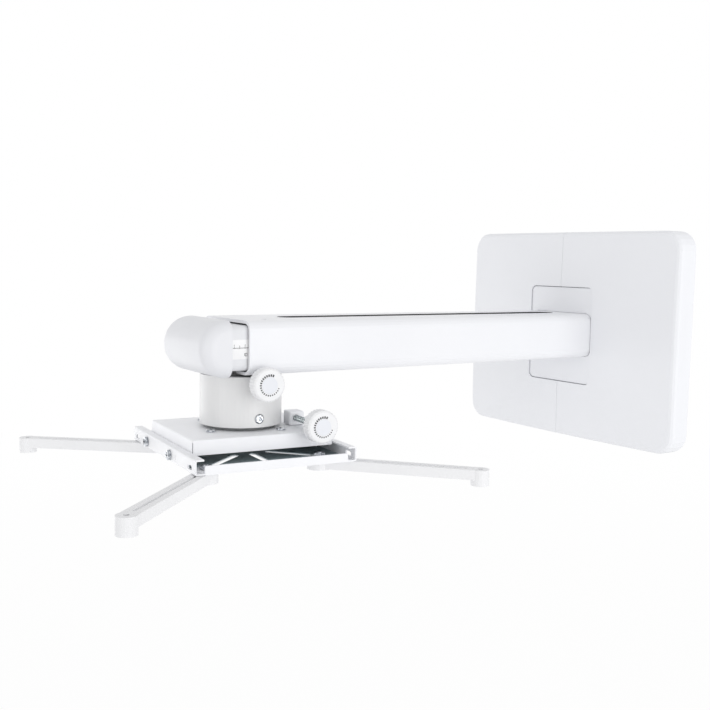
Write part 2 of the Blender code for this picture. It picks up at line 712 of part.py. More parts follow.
def glide_ring(name, low, high):
    outer = rounded_box(BORE_WIDTH - 2 * GAP, BORE_HEIGHT - 2 * GAP, BORE_CORNER - GAP)
    inner = rounded_box(TUBE_WIDTH + 2 * GAP, TUBE_HEIGHT + 2 * GAP, TUBE_CORNER + GAP)
    return outline_piece(name, GLIDE_PLASTIC, outer, [inner], low, high, UPRIGHT)


def make_sliding_tube():
    front_end = -ARM_MOUTH_Y - GLIDE_INSET
    front = glide_ring("front_glide", front_end - FRONT_GLIDE_LENGTH, front_end)
    cut(front, notch_cutter("glide_notch"), *lock_screw_holes("glide_lock_hole"))
    rear_start = -TUBE_REAR_Y + GLIDE_INSET
    glide_ring("rear_glide", rear_start, rear_start + REAR_GLIDE_LENGTH)
    tube = outline_piece(
        "sliding_tube", ARM_PAINT, rounded_box(TUBE_WIDTH, TUBE_HEIGHT, TUBE_CORNER),
        [rounded_box(TUBE_WIDTH - 2 * TUBE_WALL, TUBE_HEIGHT - 2 * TUBE_WALL, TUBE_CORNER - TUBE_WALL / 2)],
        -TUBE_REAR_Y, -TUBE_FRONT_Y, UPRIGHT)
    hole = outline_cutter(
        "spigot_bolt_hole", circle(0, NECK_Y, SPIGOT_BOLT_RADIUS + GAP), -ARM_HEIGHT, 0.0)
    cut(tube, hole)


def cap_outline(half_height, back):
    front = CAP_BACK_Y - CAP_STRAIGHT
    points = [(back, CAP_CENTRE_Z + half_height)]
    points += arc(front, CAP_CENTRE_Z, half_height, 90, 270, CAP_ARC_STEPS)
    points.append((back, CAP_CENTRE_Z - half_height))
    return points


def cap_solid(name, inset, back, cutter):
    half_width = CAP_WIDTH / 2 - inset
    half_height = CAP_HEIGHT / 2 - inset
    item = outline_piece(
        name, CAP_PLASTIC, cap_outline(half_height, back), [], -half_width, half_width, SIDEWAYS)
    round_off = item.modifiers.new("side_fillet", "BEVEL")
    round_off.width = CAP_SIDE_FILLET - inset
    round_off.segments = CAP_FILLET_STEPS
    round_off.limit_method = "ANGLE"
    round_off.angle_limit = math.radians(40)
    if cutter:
        keep_as_cutter(item)
    return item


def make_end_cap():
    # A D-shaped block, cut square at the back, hollowed, and opened for the sliding tube.
    spare = 2 * CAP_SIDE_FILLET
    cap = cap_solid("end_cap", 0.0, CAP_BACK_Y + spare, False)
    trim = box_cutter(
        "cap_trim", (-CAP_WIDTH, CAP_BACK_Y, -CAP_HEIGHT), (CAP_WIDTH, CAP_BACK_Y + 2 * spare, CAP_HEIGHT))
    hollow = cap_solid("cap_hollow", CAP_WALL, CAP_BACK_Y + spare, True)
    hollow_trim = box_cutter(
        "cap_hollow_trim", (-CAP_WIDTH, CAP_BACK_Y - CAP_WALL, -CAP_HEIGHT),
        (CAP_WIDTH, CAP_BACK_Y + 2 * spare, CAP_HEIGHT))
    cut(hollow, hollow_trim)
    opening = outline_cutter(
        "cap_opening", rounded_box(TUBE_WIDTH + 2 * GAP, TUBE_HEIGHT + 2 * GAP, TUBE_CORNER + GAP),
        -CAP_BACK_Y - CAP_WALL, -CAP_BACK_Y + 2 * CAP_WALL, UPRIGHT)
    cut(cap, trim, hollow, opening)


# Neck
def make_spigot():
    top = -TUBE_HEIGHT / 2 - GAP
    plug_low = NECK_TOP_Z - SPIGOT_PLUG_HEIGHT
    bore = SPIGOT_BOLT_RADIUS + GAP
    plug = NECK_BORE - GAP
    waist = plug - STUD_GROOVE_DEPTH - GAP
    groove_top = NECK_KNOB_Z + STUD_RADIUS + GAP
    groove_low = NECK_KNOB_Z - STUD_RADIUS - GAP
    turned_ring(
        "neck_spigot", DARK_STEEL,
        [(bore, top), (SPIGOT_RADIUS, top), (SPIGOT_RADIUS, NECK_TOP_Z), (plug, NECK_TOP_Z),
         (plug, groove_top), (waist, groove_top), (waist, groove_low), (plug, groove_low),
         (plug, plug_low), (bore, plug_low)], None, (0, NECK_Y, 0))
    hex_piece(
        "spigot_bolt", ZINC, SPIGOT_BOLT_HEAD_RADIUS, SPIGOT_BOLT_HEAD_HEIGHT, SPIGOT_BOLT_RADIUS,
        SPIGOT_BOLT_LENGTH, None, (0, NECK_Y, -TUBE_HEIGHT / 2 + TUBE_WALL + GAP))


def make_neck(frame):
    tube = turned_ring(
        "neck_tube", NECK_PAINT,
        [(NECK_BORE, NECK_TOP_Z), (NECK_RADIUS, NECK_TOP_Z), (NECK_RADIUS, NECK_BOTTOM_Z),
         (NECK_BORE, NECK_BOTTOM_Z)], frame, steps=NECK_STEPS)
    base_top = NECK_BOTTOM_Z + NECK_BASE_HEIGHT
    plug = NECK_BORE - GAP
    bore = PIVOT_BOLT_RADIUS + GAP
    base = turned_ring(
        "neck_base", DARK_STEEL,
        [(bore, base_top), (plug, base_top), (plug, NECK_BOTTOM_Z), (bore, NECK_BOTTOM_Z)], frame)
    stud_hole = outline_cutter(
        "neck_stud_hole", circle(0, NECK_KNOB_Z, STUD_RADIUS + GAP), 0.0, 2 * NECK_RADIUS, SIDEWAYS, frame)
    cut(tube, stud_hole)
    screws = make_frame("neck_screw_axis", (0, 0, 0), NECK_SCREW_TURN, frame)
    seat_x = NECK_RADIUS - NECK_WALL / 2
    shank = circle(0, NECK_SCREW_Z, NECK_SCREW_RADIUS + GAP, BOLT_STEPS)
    head = circle(0, NECK_SCREW_Z, NECK_SCREW_HEAD_RADIUS + GAP)
    for number, side in ((1, 1), (2, -1)):
        past = side * 2 * NECK_RADIUS
        hole = outline_cutter(
            "neck_screw_hole_%d" % number, shank, *span(0, past), SIDEWAYS, screws)
        seat = outline_cutter(
            "neck_screw_seat_%d" % number, head, *span(side * seat_x, past), SIDEWAYS, screws)
        pocket = outline_cutter(
            "neck_base_pocket_%d" % number, shank, *span(side * (NECK_BORE - NECK_SCREW_LENGTH), past),
            SIDEWAYS, screws)
        cut(tube, hole, seat)
        cut(base, pocket)
        pan_screw(
            "neck_screw_%d" % number, ZINC, NECK_SCREW_HEAD_RADIUS, NECK_SCREW_HEAD_HEIGHT,
            NECK_SCREW_RADIUS, NECK_SCREW_LENGTH, screws, (side * (seat_x + GAP), 0, NECK_SCREW_Z),
            ALONG_X if side > 0 else ALONG_MINUS_X)


def make_knob(name, stud_name, frame, inner_x, y, z, tip_x):
    # A fluted thumb knob on a threaded stud that points back along X.
    axis = make_frame(name + "_axis", (0, y, z), 0.0, frame)
    points = []
    for i in range(KNOB_FLUTES * 3):
        angle = 2 * math.pi * i / (KNOB_FLUTES * 3)
        radius = KNOB_RADIUS - (KNOB_FLUTE_DEPTH if i % 3 == 0 else 0.0)
        points.append((radius * math.cos(angle), radius * math.sin(angle)))
    outer_x = inner_x + KNOB_THICKNESS
    knob = outline_piece(name, KNOB_PLASTIC, points, [], inner_x, outer_x, SIDEWAYS, axis)
    edge = knob.modifiers.new("soft_edges", "BEVEL")
    edge.width = KNOB_EDGE
    edge.segments = 1
    edge.limit_method = "ANGLE"
    edge.angle_limit = math.radians(60)
    hub = outline_cutter(
        name + "_hub", circle(0, 0, KNOB_HUB_RADIUS), inner_x - KNOB_HUB_LENGTH,
        inner_x + KNOB_THICKNESS / 2, SIDEWAYS, axis)
    bore = outline_cutter(
        name + "_bore", circle(0, 0, STUD_RADIUS + GAP, BOLT_STEPS), inner_x - 2 * KNOB_HUB_LENGTH,
        inner_x + STUD_IN_KNOB + GAP, SIDEWAYS, axis)
    join(knob, hub)
    cut(knob, bore)
    length = inner_x + STUD_IN_KNOB - tip_x
    turned_piece(
        stud_name, ZINC,
        [(0, length), (STUD_RADIUS, length), (STUD_RADIUS, STUD_TIP), (STUD_RADIUS - STUD_TIP, 0), (0, 0)],
        axis, (tip_x, 0, 0), ALONG_X, BOLT_STEPS)


# Interface
def make_turntable(frame):
    low = TRAY_TOP_Z + GAP
    bore = PIVOT_BOLT_RADIUS + GAP
    turned_ring(
        "turntable_disc", DARK_STEEL,
        [(bore, TURNTABLE_TOP_Z), (TURNTABLE_RADIUS, TURNTABLE_TOP_Z), (TURNTABLE_RADIUS, low),
         (bore, low)], frame)
    nut_z = NECK_BOTTOM_Z + NECK_BASE_HEIGHT + GAP
    head_z = TRAY_FLOOR_Z - GAP
    length = nut_z + PIVOT_NUT_HEIGHT + PIVOT_BOLT_SPARE - head_z
    bolt = hex_piece(
        "pivot_bolt", ZINC, PIVOT_HEAD_RADIUS, PIVOT_HEAD_HEIGHT, PIVOT_BOLT_RADIUS, length,
        frame, (0, 0, head_z))
    for item in (bolt, bolt.modifiers[0].object):
        item.rotation_euler = (math.radians(180), 0, 0)
    nut_piece(
        "pivot_nut", ZINC, PIVOT_HEAD_RADIUS, PIVOT_NUT_HEIGHT, PIVOT_BOLT_RADIUS + GAP, frame,
        (0, 0, nut_z))


def open_box(name, material, x, y, top, depth, frame):
    # A tray upside down: a cube without its lower face, thickened inwards.
    work = bmesh.new()
    bmesh.ops.create_cube(work, size=1.0, matrix=Matrix.Diagonal((x, y, depth, 1.0)))
    low = [face for face in work.faces if face.normal.z < -0.5]
    bmesh.ops.delete(work, geom=low, context="FACES_ONLY")
    mesh = bpy.data.meshes.new(name)
    work.to_mesh(mesh)
    work.free()
    item = put(mesh, name, material, frame)
    item.location = (0, 0, top - depth / 2)
    fold = item.modifiers.new("folds", "BEVEL")
    fold.width = SHEET
    fold.segments = 2
    fold.limit_method = "ANGLE"
    fold.angle_limit = math.radians(60)
    wall = item.modifiers.new("sheet", "SOLIDIFY")
    wall.thickness = SHEET
    wall.offset = -1.0
    wall.use_even_offset = True
    return item


def make_tray(frame):
    tray = open_box("tray", SHEET_PAINT, TRAY_LENGTH_X, TRAY_LENGTH_Y, TRAY_TOP_Z, TRAY_DEPTH, frame)
    flange_low = TRAY_TOP_Z - TRAY_DEPTH
    for number, x in enumerate(RAIL_SCREWS, 1):
        for side in (-1, 1):
            tag = "%d_%s" % (number, "front" if side < 0 else "back")
            outline = arc(x, RAIL_SCREW_Z, EAR_RADIUS, 180, 360, 10)
            outline += [(x + EAR_RADIUS, flange_low + SHEET), (x - EAR_RADIUS, flange_low + SHEET)]
            outer = TRAY_LENGTH_Y / 2
            low = outer - SHEET if side < 0 else -outer
            join(tray, outline_cutter("ear_" + tag, outline, low, low + SHEET, UPRIGHT, frame))
    for number, x in enumerate(RAIL_SCREWS, 1):
        cut(tray, outline_cutter(
            "ear_hole_%d" % number, circle(x, RAIL_SCREW_Z, RAIL_SCREW_RADIUS + GAP, BOLT_STEPS),
            -TRAY_LENGTH_Y, TRAY_LENGTH_Y, UPRIGHT, frame))
    cut(tray, outline_cutter(
        "tray_pivot_hole", circle(0, 0, PIVOT_BOLT_RADIUS + GAP), flange_low, 0.0, LEVEL, frame))
    reach = 3 * SHEET
    for sx in (-1, 1):
        for sy in (-1, 1):
            seam = box_cutter(
                "tray_seam_%d_%d" % (sx, sy), (-TRAY_SEAM / 2, -reach, flange_low - reach),
                (TRAY_SEAM / 2, reach, TRAY_FLOOR_Z - SHEET / 2), frame)
            centre = seam.location.copy()
            seam.location = (sx * TRAY_LENGTH_X / 2, sy * TRAY_LENGTH_Y / 2, centre.z)
            seam.rotation_euler = (0, 0, math.radians(-45 * sx * sy))
            cut(tray, seam)
    for number in range(1, 5):
        angle = TRAY_SCREW_TURN + (number - 1) * math.radians(90)
        x = TRAY_SCREW_CIRCLE * math.cos(angle)
        y = TRAY_SCREW_CIRCLE * math.sin(angle)
        cut(tray, outline_cutter(
            "tray_screw_hole_%d" % number, circle(x, y, TRAY_SCREW_RADIUS + GAP, BOLT_STEPS),
            flange_low, 0.0, LEVEL, frame))
        pan_screw(
            "tray_screw_%d" % number, ZINC, TRAY_SCREW_HEAD_RADIUS, TRAY_SCREW_HEAD_HEIGHT,
            TRAY_SCREW_RADIUS, 3 * SHEET, frame, (x, y, TRAY_TOP_Z + GAP), (0, 0, 0))


def make_clamp(frame):
    low = TRAY_TOP_Z + GAP
    lug_y = CLAMP_Y + LUG_SHIFT_Y
    lug = box_piece(
        "clamp_lug", SHEET_PAINT, (LUG_X - LUG_LENGTH, lug_y - LUG_WIDTH / 2, low),
        (LUG_X, lug_y + LUG_WIDTH / 2, low + LUG_HEIGHT), frame, LUG_EDGE)
    cut(lug, outline_cutter(
        "lug_hole", circle(CLAMP_Y, CLAMP_Z, STUD_RADIUS + GAP), LUG_X - 2 * LUG_LENGTH,
        LUG_X + LUG_LENGTH, SIDEWAYS, frame))


def make_plate(frame):
    # One folded sheet: a floor, a channel along each end and a low lip along each side.
    half = PLATE_LENGTH_Y / 2
    lip_end = TRAY_LENGTH_Y / 2 + GAP
    top = PLATE_BOTTOM_Z + RAIL_HEIGHT
    section = [
        (-lip_end, top), (-half, top), (-half, PLATE_BOTTOM_Z),
        (half, PLATE_BOTTOM_Z), (half, top), (lip_end, top)]
    work = bmesh.new()
    ends = [[work.verts.new((x, y, z)) for y, z in section] for x in (-PLATE_LENGTH_X / 2, PLATE_LENGTH_X / 2)]
    for i in range(len(section) - 1):
        work.faces.new((ends[0][i], ends[1][i], ends[1][i + 1], ends[0][i + 1]))
    bmesh.ops.recalc_face_normals(work, faces=work.faces)
    floor = min(work.faces, key=lambda face: face.calc_center_median().z)
    if floor.normal.z > 0:
        bmesh.ops.reverse_faces(work, faces=work.faces)
    mesh = bpy.data.meshes.new("projector_plate")
    work.to_mesh(mesh)
    work.free()
    plate = put(mesh, "projector_plate", SHEET_PAINT, frame)
    fold = plate.modifiers.new("folds", "BEVEL")
    fold.width = SHEET
    fold.segments = 2
    fold.limit_method = "ANGLE"
    fold.angle_limit = math.radians(60)
    wall = plate.modifiers.new("sheet", "SOLIDIFY")
    wall.thickness = SHEET
    wall.offset = -1.0
    wall.use_even_offset = True
    for side in (-1, 1):
        edge = side * PLATE_LENGTH_X / 2
        inner = edge - side * SHEET
        lip = box_cutter(
            "side_lip_%d" % side, (min(edge, inner), -FLANGE_LENGTH / 2, PLATE_BOTTOM_Z),
            (max(edge, inner), FLANGE_LENGTH / 2, PLATE_BOTTOM_Z + FLANGE_HEIGHT), frame)
        join(plate, lip)
    cut(plate, *plate_cutters(frame))


def plate_cutters(frame):
    cutters = []
    through = (-PLATE_LENGTH_Y, PLATE_LENGTH_Y)
    pivot = circle(RAIL_SCREWS[0], RAIL_SCREW_Z, RAIL_SCREW_RADIUS + GAP, BOLT_STEPS)
    cutters.append(outline_cutter("plate_pivot_hole", pivot, *through, UPRIGHT, frame))
    swing = RAIL_SCREW_SPAN * math.sin(TILT_RANGE)
    width = 2 * (RAIL_SCREW_RADIUS + GAP)
    level = slot((RAIL_SCREWS[1], RAIL_SCREW_Z - swing), (RAIL_SCREWS[1], RAIL_SCREW_Z + swing), width)
    cutters.append(outline_cutter("plate_level_slot", level, *through, UPRIGHT, frame))
    reach = (RAIL_END_SLOT_LENGTH - RAIL_END_SLOT_WIDTH) / 2
    for side in (-1, 1):
        x = side * RAIL_END_SLOT_X
        end_slot = slot((x - reach, RAIL_END_SLOT_Z), (x + reach, RAIL_END_SLOT_Z), RAIL_END_SLOT_WIDTH)
        cutters.append(outline_cutter("rail_end_slot_%d" % side, end_slot, *through, UPRIGHT, frame))
    half = (RAIL_MARK_HEIGHT - RAIL_MARK_WIDTH) / 2
    mark = slot((RAIL_MARK_X, RAIL_SCREW_Z - half), (RAIL_MARK_X, RAIL_SCREW_Z + half), RAIL_MARK_WIDTH, 4)
    cutters.append(outline_cutter("rail_mark", mark, *through, UPRIGHT, frame))
    swing_room = EAR_RADIUS + 4 * RUNNING_GAP
    for side in (-1, 1):
        near = side * (TRAY_LENGTH_Y / 2 - SHEET - 2 * RUNNING_GAP)
        far = side * (WEB_INNER_Y - GAP / 2)
        cutters.append(box_cutter(
            "ear_window_%d" % side,
            (RAIL_SCREWS[1] - swing_room, min(near, far), PLATE_BOTTOM_Z - SHEET),
            (RAIL_SCREWS[1] + swing_room, max(near, far), PLATE_FLOOR_Z + SHEET / 2), frame))
    low = PLATE_BOTTOM_Z - SHEET
    high = PLATE_FLOOR_Z + SHEET / 2
    for name, sx, sy, place, heading in SPIDER_ARMS:
        start, end = slot_ends(sx, sy)
        cutters.append(outline_cutter(
            "plate_slot_" + name, slot(start, end, SLOT_WIDTH), low, high, LEVEL, frame))
    for side in (-1, 1):
        start = (side * (CENTRE_SLOT_X - CENTRE_SLOT_LENGTH / 2), 0)
        end = (side * (CENTRE_SLOT_X + CENTRE_SLOT_LENGTH / 2), 0)
        cutters.append(outline_cutter(
            "plate_centre_slot_%d" % side, slot(start, end, SLOT_WIDTH), low, high, LEVEL, frame))
    return cutters


def make_rail_screws(frame):
    spacer_end = WEB_INNER_Y - GAP
    spacer_start = TRAY_LENGTH_Y / 2 + GAP
    for number, x in enumerate(RAIL_SCREWS, 1):
        for side, tag in ((-1, "front"), (1, "back")):
            low = spacer_start if side < 0 else -spacer_end
            outline_piece(
                "rail_spacer_%s_%d" % (tag, number), ZINC,
                circle(x, RAIL_SCREW_Z, SPACER_RADIUS, BOLT_STEPS),
                [circle(x, RAIL_SCREW_Z, RAIL_SCREW_RADIUS + GAP, BOLT_STEPS)],
                low, low + spacer_end - spacer_start, UPRIGHT, frame)
            length = PLATE_LENGTH_Y / 2 + GAP - TRAY_LENGTH_Y / 2 + 2 * SHEET
            pan_screw(
                "rail_screw_%s_%d" % (tag, number), DARK_STEEL, RAIL_SCREW_HEAD_RADIUS,
                RAIL_SCREW_HEAD_HEIGHT, RAIL_SCREW_RADIUS, length, frame,
                (x, side * (PLATE_LENGTH_Y / 2 + GAP), RAIL_SCREW_Z),
                ALONG_MINUS_Y if side < 0 else ALONG_Y)


# Spider arms
def slot_ends(sx, sy):
    start = FRONT_SLOT_START if sy < 0 else BACK_SLOT_START
    end = FRONT_SLOT_END if sy < 0 else BACK_SLOT_END
    return (sx * start[0], sy * start[1]), (sx * end[0], sy * end[1])


def make_spider_arm(name, sx, sy, place, heading, interface):
    start, end = slot_ends(sx, sy)
    x = start[0] + (end[0] - start[0]) * place
    y = start[1] + (end[1] - start[1]) * place
    frame = make_frame("spider_axis_" + name, (x, y, 0), math.radians(heading), interface)
    top = SPIDER_TOP_Z
    low = top - SPIDER_HEIGHT
    arm = outline_piece(
        "spider_arm_" + name, SPIDER_PAINT, slot((0, 0), (SPIDER_LENGTH, 0), SPIDER_WIDTH), [],
        low, top, LEVEL, frame)
    boss = outline_cutter(
        "boss_" + name, circle(0, 0, SPIDER_BOSS_RADIUS, FOOT_STEPS), low - SPIDER_BOSS_DROP, top, LEVEL, frame)
    foot = outline_cutter(
        "foot_" + name, circle(SPIDER_LENGTH, 0, FOOT_RADIUS, FOOT_STEPS), top - FOOT_HEIGHT, top, LEVEL, frame)
    join(arm, boss, foot)
    groove = outline_cutter(
        "groove_" + name, slot((GROOVE_FROM_BOSS, 0), (SPIDER_LENGTH - GROOVE_FROM_FOOT, 0), GROOVE_WIDTH),
        top - GROOVE_DEPTH, top + GROOVE_DEPTH, LEVEL, frame)
    foot_hole = outline_cutter(
        "foot_hole_" + name, circle(SPIDER_LENGTH, 0, FOOT_HOLE_RADIUS, BOLT_STEPS),
        top - 2 * FOOT_HEIGHT, top + FOOT_HEIGHT, LEVEL, frame)
    bolt_hole = outline_cutter(
        "bolt_hole_" + name, circle(0, 0, SPIDER_BOLT_RADIUS + GAP, BOLT_STEPS),
        top - 2 * FOOT_HEIGHT, top + FOOT_HEIGHT, LEVEL, frame)
    underside = low - SPIDER_BOSS_DROP
    recess = outline_cutter(
        "bolt_recess_" + name, circle(0, 0, SPIDER_BOLT_HEAD_RADIUS + 2 * GAP, SMALL_STEPS),
        underside - SPIDER_BOLT_HEAD_HEIGHT, underside + SPIDER_BOLT_HEAD_HEIGHT, LEVEL, frame)
    cut(arm, groove, foot_hole, bolt_hole, recess)
    head_z = underside + SPIDER_BOLT_HEAD_HEIGHT - GAP
    nut_z = PLATE_FLOOR_Z + GAP
    length = nut_z + SPIDER_NUT_HEIGHT + SPIDER_BOLT_SPARE - head_z
    turned_piece(
        "spider_bolt_" + name, ZINC,
        pan_profile(SPIDER_BOLT_HEAD_RADIUS, SPIDER_BOLT_HEAD_HEIGHT, SPIDER_BOLT_RADIUS, length),
        frame, (0, 0, head_z), (math.radians(180), 0, 0), BOLT_STEPS)
    nut_piece(
        "spider_nut_" + name, ZINC, SPIDER_NUT_RADIUS, SPIDER_NUT_HEIGHT, SPIDER_BOLT_RADIUS + GAP,
        frame, (0, 0, nut_z))


def main():
    make_wall_plate()
    make_socket()
    make_cover_half("cover_left", -1)
    make_cover_half("cover_right", 1)
    make_inserts()
    make_arm_tube()
    make_slot_strip()
    make_lock_screws()
    make_sliding_tube()
    make_end_cap()
    make_spigot()
    neck = make_frame("neck_axis", (0, NECK_Y, 0), NECK_YAW)
    make_neck(neck)
    make_knob(
        "neck_knob", "neck_knob_stud", neck, NECK_KNOB_INNER_X, 0.0, NECK_KNOB_Z,
        NECK_BORE - STUD_GROOVE_DEPTH)
    interface = make_frame("interface_axis", (0, NECK_Y, 0), INTERFACE_YAW)
    make_turntable(interface)
    make_tray(interface)
    make_clamp(interface)
    make_knob(
        "clamp_knob", "clamp_knob_stud", interface, CLAMP_KNOB_INNER_X, CLAMP_Y, CLAMP_Z,
        LUG_X - LUG_LENGTH - STUD_BEHIND_LUG)
    make_plate(interface)
    make_rail_screws(interface)
    for name, sx, sy, place, heading in SPIDER_ARMS:
        make_spider_arm(name, sx, sy, place, heading, interface)


main()
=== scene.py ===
import bmesh
import bpy
import math
import numpy as np
from mathutils import Matrix, Vector


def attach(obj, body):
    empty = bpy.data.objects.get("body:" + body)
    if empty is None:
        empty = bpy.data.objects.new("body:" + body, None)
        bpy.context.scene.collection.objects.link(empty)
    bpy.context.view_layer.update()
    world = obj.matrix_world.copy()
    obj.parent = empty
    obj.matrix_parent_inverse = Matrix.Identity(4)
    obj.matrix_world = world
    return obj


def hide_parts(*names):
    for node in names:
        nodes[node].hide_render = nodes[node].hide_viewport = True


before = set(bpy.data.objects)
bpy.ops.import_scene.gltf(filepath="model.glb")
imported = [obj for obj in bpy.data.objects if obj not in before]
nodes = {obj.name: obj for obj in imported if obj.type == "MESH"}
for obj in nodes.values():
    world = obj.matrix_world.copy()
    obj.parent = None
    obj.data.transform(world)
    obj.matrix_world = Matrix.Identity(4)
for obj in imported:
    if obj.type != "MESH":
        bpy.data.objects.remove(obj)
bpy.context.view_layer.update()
print("frame loaded:", len(nodes), "pieces")


# mesh helpers: every new surface is computed as whole arrays
weldDistance = 0.000002  # points closer than this become one
foldAngle = 35  # degrees: an edge that turns more is drawn sharp
boxCorners = np.array([[x, y, z] for x in (-0.5, 0.5) for y in (-0.5, 0.5) for z in (-0.5, 0.5)])
boxFaces = np.array([[0, 1, 3, 2], [4, 6, 7, 5], [0, 4, 5, 1], [2, 3, 7, 6], [0, 2, 6, 4], [1, 5, 7, 3]])


def meshFromArrays(name, points, *faceArrays):
    mesh = bpy.data.meshes.new(name)
    faces = [face for array in faceArrays for face in array.tolist()]
    mesh.from_pydata(points.reshape(-1, 3).tolist(), [], faces)
    mesh.validate()
    piece = bpy.data.objects.new(name, mesh)
    bpy.context.scene.collection.objects.link(piece)
    return piece


def gridQuads(rows, columns, closeRows=False, closeColumns=False):
    # the four corners of each cell of a grid whose points run row by row
    r = np.arange(rows if closeRows else rows - 1)
    c = np.arange(columns if closeColumns else columns - 1)
    r, c = (a.ravel() for a in np.meshgrid(r, c, indexing="ij"))
    r2 = (r + 1) % rows
    c2 = (c + 1) % columns
    return np.stack([r * columns + c, r2 * columns + c, r2 * columns + c2, r * columns + c2], axis=1)


def faceOutwards(piece):
    work = bmesh.new()
    work.from_mesh(piece.data)
    bmesh.ops.remove_doubles(work, verts=work.verts, dist=weldDistance)
    bmesh.ops.recalc_face_normals(work, faces=work.faces)
    work.to_mesh(piece.data)
    work.free()


def shadeSmooth(piece, sharpFrom=foldAngle):
    piece.data.shade_smooth()
    piece.data.set_sharp_from_angle(angle=math.radians(sharpFrom))


def nodePoints(name):
    # the corners of a fixed piece's mesh
    mesh = nodes[name].data
    points = np.zeros(len(mesh.vertices) * 3)
    mesh.vertices.foreach_get("co", points)
    return points.reshape(-1, 3)


def levelAxis(yaw):
    return np.array([math.cos(math.radians(yaw)), math.sin(math.radians(yaw)), 0.0])


def turnedFrame(origin, axis):
    # columns are two directions across the axis, then the axis itself
    axis = np.array(axis, float) / np.linalg.norm(axis)
    side = np.array([0.0, 0.0, 1.0])
    across = np.cross(side, axis)
    across = across / np.linalg.norm(across)
    return np.array(origin, float), np.stack([across, side, axis], axis=1)


def boxQuads(count):
    # the faces of as many boxes, whose corners follow one another in the order of boxCorners
    return (boxFaces[None, :, :] + len(boxCorners) * np.arange(count)[:, None, None]).reshape(-1, 4)


def boxBlocks(centres, sizes):
    # many small boxes at once: centres (n, 3) and sizes (n, 3)
    points = centres[:, None, :] + boxCorners[None, :, :] * sizes[:, None, :]
    return points, boxQuads(len(centres))


# node helpers, and the effects that several finishes share
mixSockets = {"FLOAT": (2, 3, 0), "RGBA": (6, 7, 2)}  # a mix node's two inputs and its output, by kind
plainWhite = (1, 1, 1, 1)


def setInputs(tree, node, inputs):
    # an input takes a plain value, or another node's output, which is linked to it
    for key, value in inputs.items():
        if isinstance(value, bpy.types.NodeSocket):
            tree.links.new(value, node.inputs[key])
        else:
            node.inputs[key].default_value = value


def addNode(tree, kind, inputs=None, **settings):
    node = tree.nodes.new(kind)
    for key, value in settings.items():
        setattr(node, key, value)
    setInputs(tree, node, inputs or {})
    return node


def newGroup(name, inputs, outputs):
    # a socket is given by its label and kind, and an input by its default too
    group = bpy.data.node_groups.new(name, "ShaderNodeTree")
    for label, kind, value in inputs:
        socket = group.interface.new_socket(name=label, in_out="INPUT", socket_type="NodeSocket" + kind)
        socket.default_value = value
    for label, kind in outputs:
        group.interface.new_socket(name=label, in_out="OUTPUT", socket_type="NodeSocket" + kind)
    given = group.nodes.new("NodeGroupInput").outputs
    return group, given, group.nodes.new("NodeGroupOutput")


def objectPlace(tree):
    return addNode(tree, "ShaderNodeTexCoord").outputs["Object"]


def noiseAt(tree, place, scale, detail, roughness=0.5):
    noise = addNode(tree, "ShaderNodeTexNoise", {
        "Vector": place, "Scale": scale, "Detail": detail, "Roughness": roughness})
    return noise.outputs["Fac"]


def calculate(tree, operation, *values, clamp=False):
    node = addNode(tree, "ShaderNodeMath", dict(enumerate(values)), operation=operation, use_clamp=clamp)
    return node.outputs[0]


def mapped(tree, value, ends, **settings):
    return addNode(tree, "ShaderNodeMapRange", {"Value": value, **ends}, **settings).outputs["Result"]


def mixed(tree, kind, share, first, second):
    a, b, result = mixSockets[kind]
    return addNode(tree, "ShaderNodeMix", {0: share, a: first, b: second}, data_type=kind).outputs[result]


def bumped(tree, look, height):
    bump = addNode(tree, "ShaderNodeBump", {
        "Strength": look["bump"], "Distance": look["relief"], "Height": height})
    return bump.outputs["Normal"]


def buildPeel():
    # fine ripple of sprayed paint: a millimetre grain over a slower wave
    group, given, end = newGroup(
        "finePeel", [("Grain", "Float", 900.0), ("Wave", "Float", 120.0), ("Wave share", "Float", 0.3)],
        [("Height", "Float")])
    place = objectPlace(group)
    grain = noiseAt(group, place, given["Grain"], detail=3.0)
    wave = noiseAt(group, place, given["Wave"], detail=2.0)
    setInputs(group, end, {"Height": mixed(group, "FLOAT", given["Wave share"], grain, wave)})
    return group


def buildTone():
    # slow drift between two close colours, and a faint handling haze in the roughness
    group, given, end = newGroup(
        "slowTone",
        [("Base", "Color", (0.8, 0.8, 0.8, 1)), ("Shade", "Color", (0.7, 0.7, 0.7, 1)),
         ("Size", "Float", 14.0), ("Rough low", "Float", 0.35), ("Rough high", "Float", 0.5)],
        [("Color", "Color"), ("Roughness", "Float")])
    place = objectPlace(group)
    slow = noiseAt(group, place, given["Size"], detail=4.0, roughness=0.55)
    drift = mapped(group, slow, {"From Min": 0.35, "From Max": 0.65})
    haze = noiseAt(group, place, 55.0, detail=5.0, roughness=0.6)
    rough = mapped(group, haze, {
        "From Min": 0.3, "From Max": 0.7, "To Min": given["Rough low"], "To Max": given["Rough high"]})
    setInputs(group, end, {
        "Color": mixed(group, "RGBA", drift, given["Base"], given["Shade"]), "Roughness": rough})
    return group


def buildStreaksAndReflections():
    # hairline streaks drawn out along one direction, for bright metal; on the screws and threads their dark
    # tone is painted reflection
    group, given, end = newGroup(
        "streaksAndReflections", [("Along", "Vector", (60.0, 2500.0, 2500.0))],
        [("Height", "Float"), ("Mask", "Float")])
    stretch = addNode(
        group, "ShaderNodeVectorMath", {0: objectPlace(group), 1: given["Along"]}, operation="MULTIPLY")
    height = noiseAt(group, stretch.outputs["Vector"], 1.0, detail=4.0, roughness=0.65)
    mask = mapped(group, height, {"From Min": 0.42, "From Max": 0.62})
    setInputs(group, end, {"Height": height, "Mask": mask})
    return group


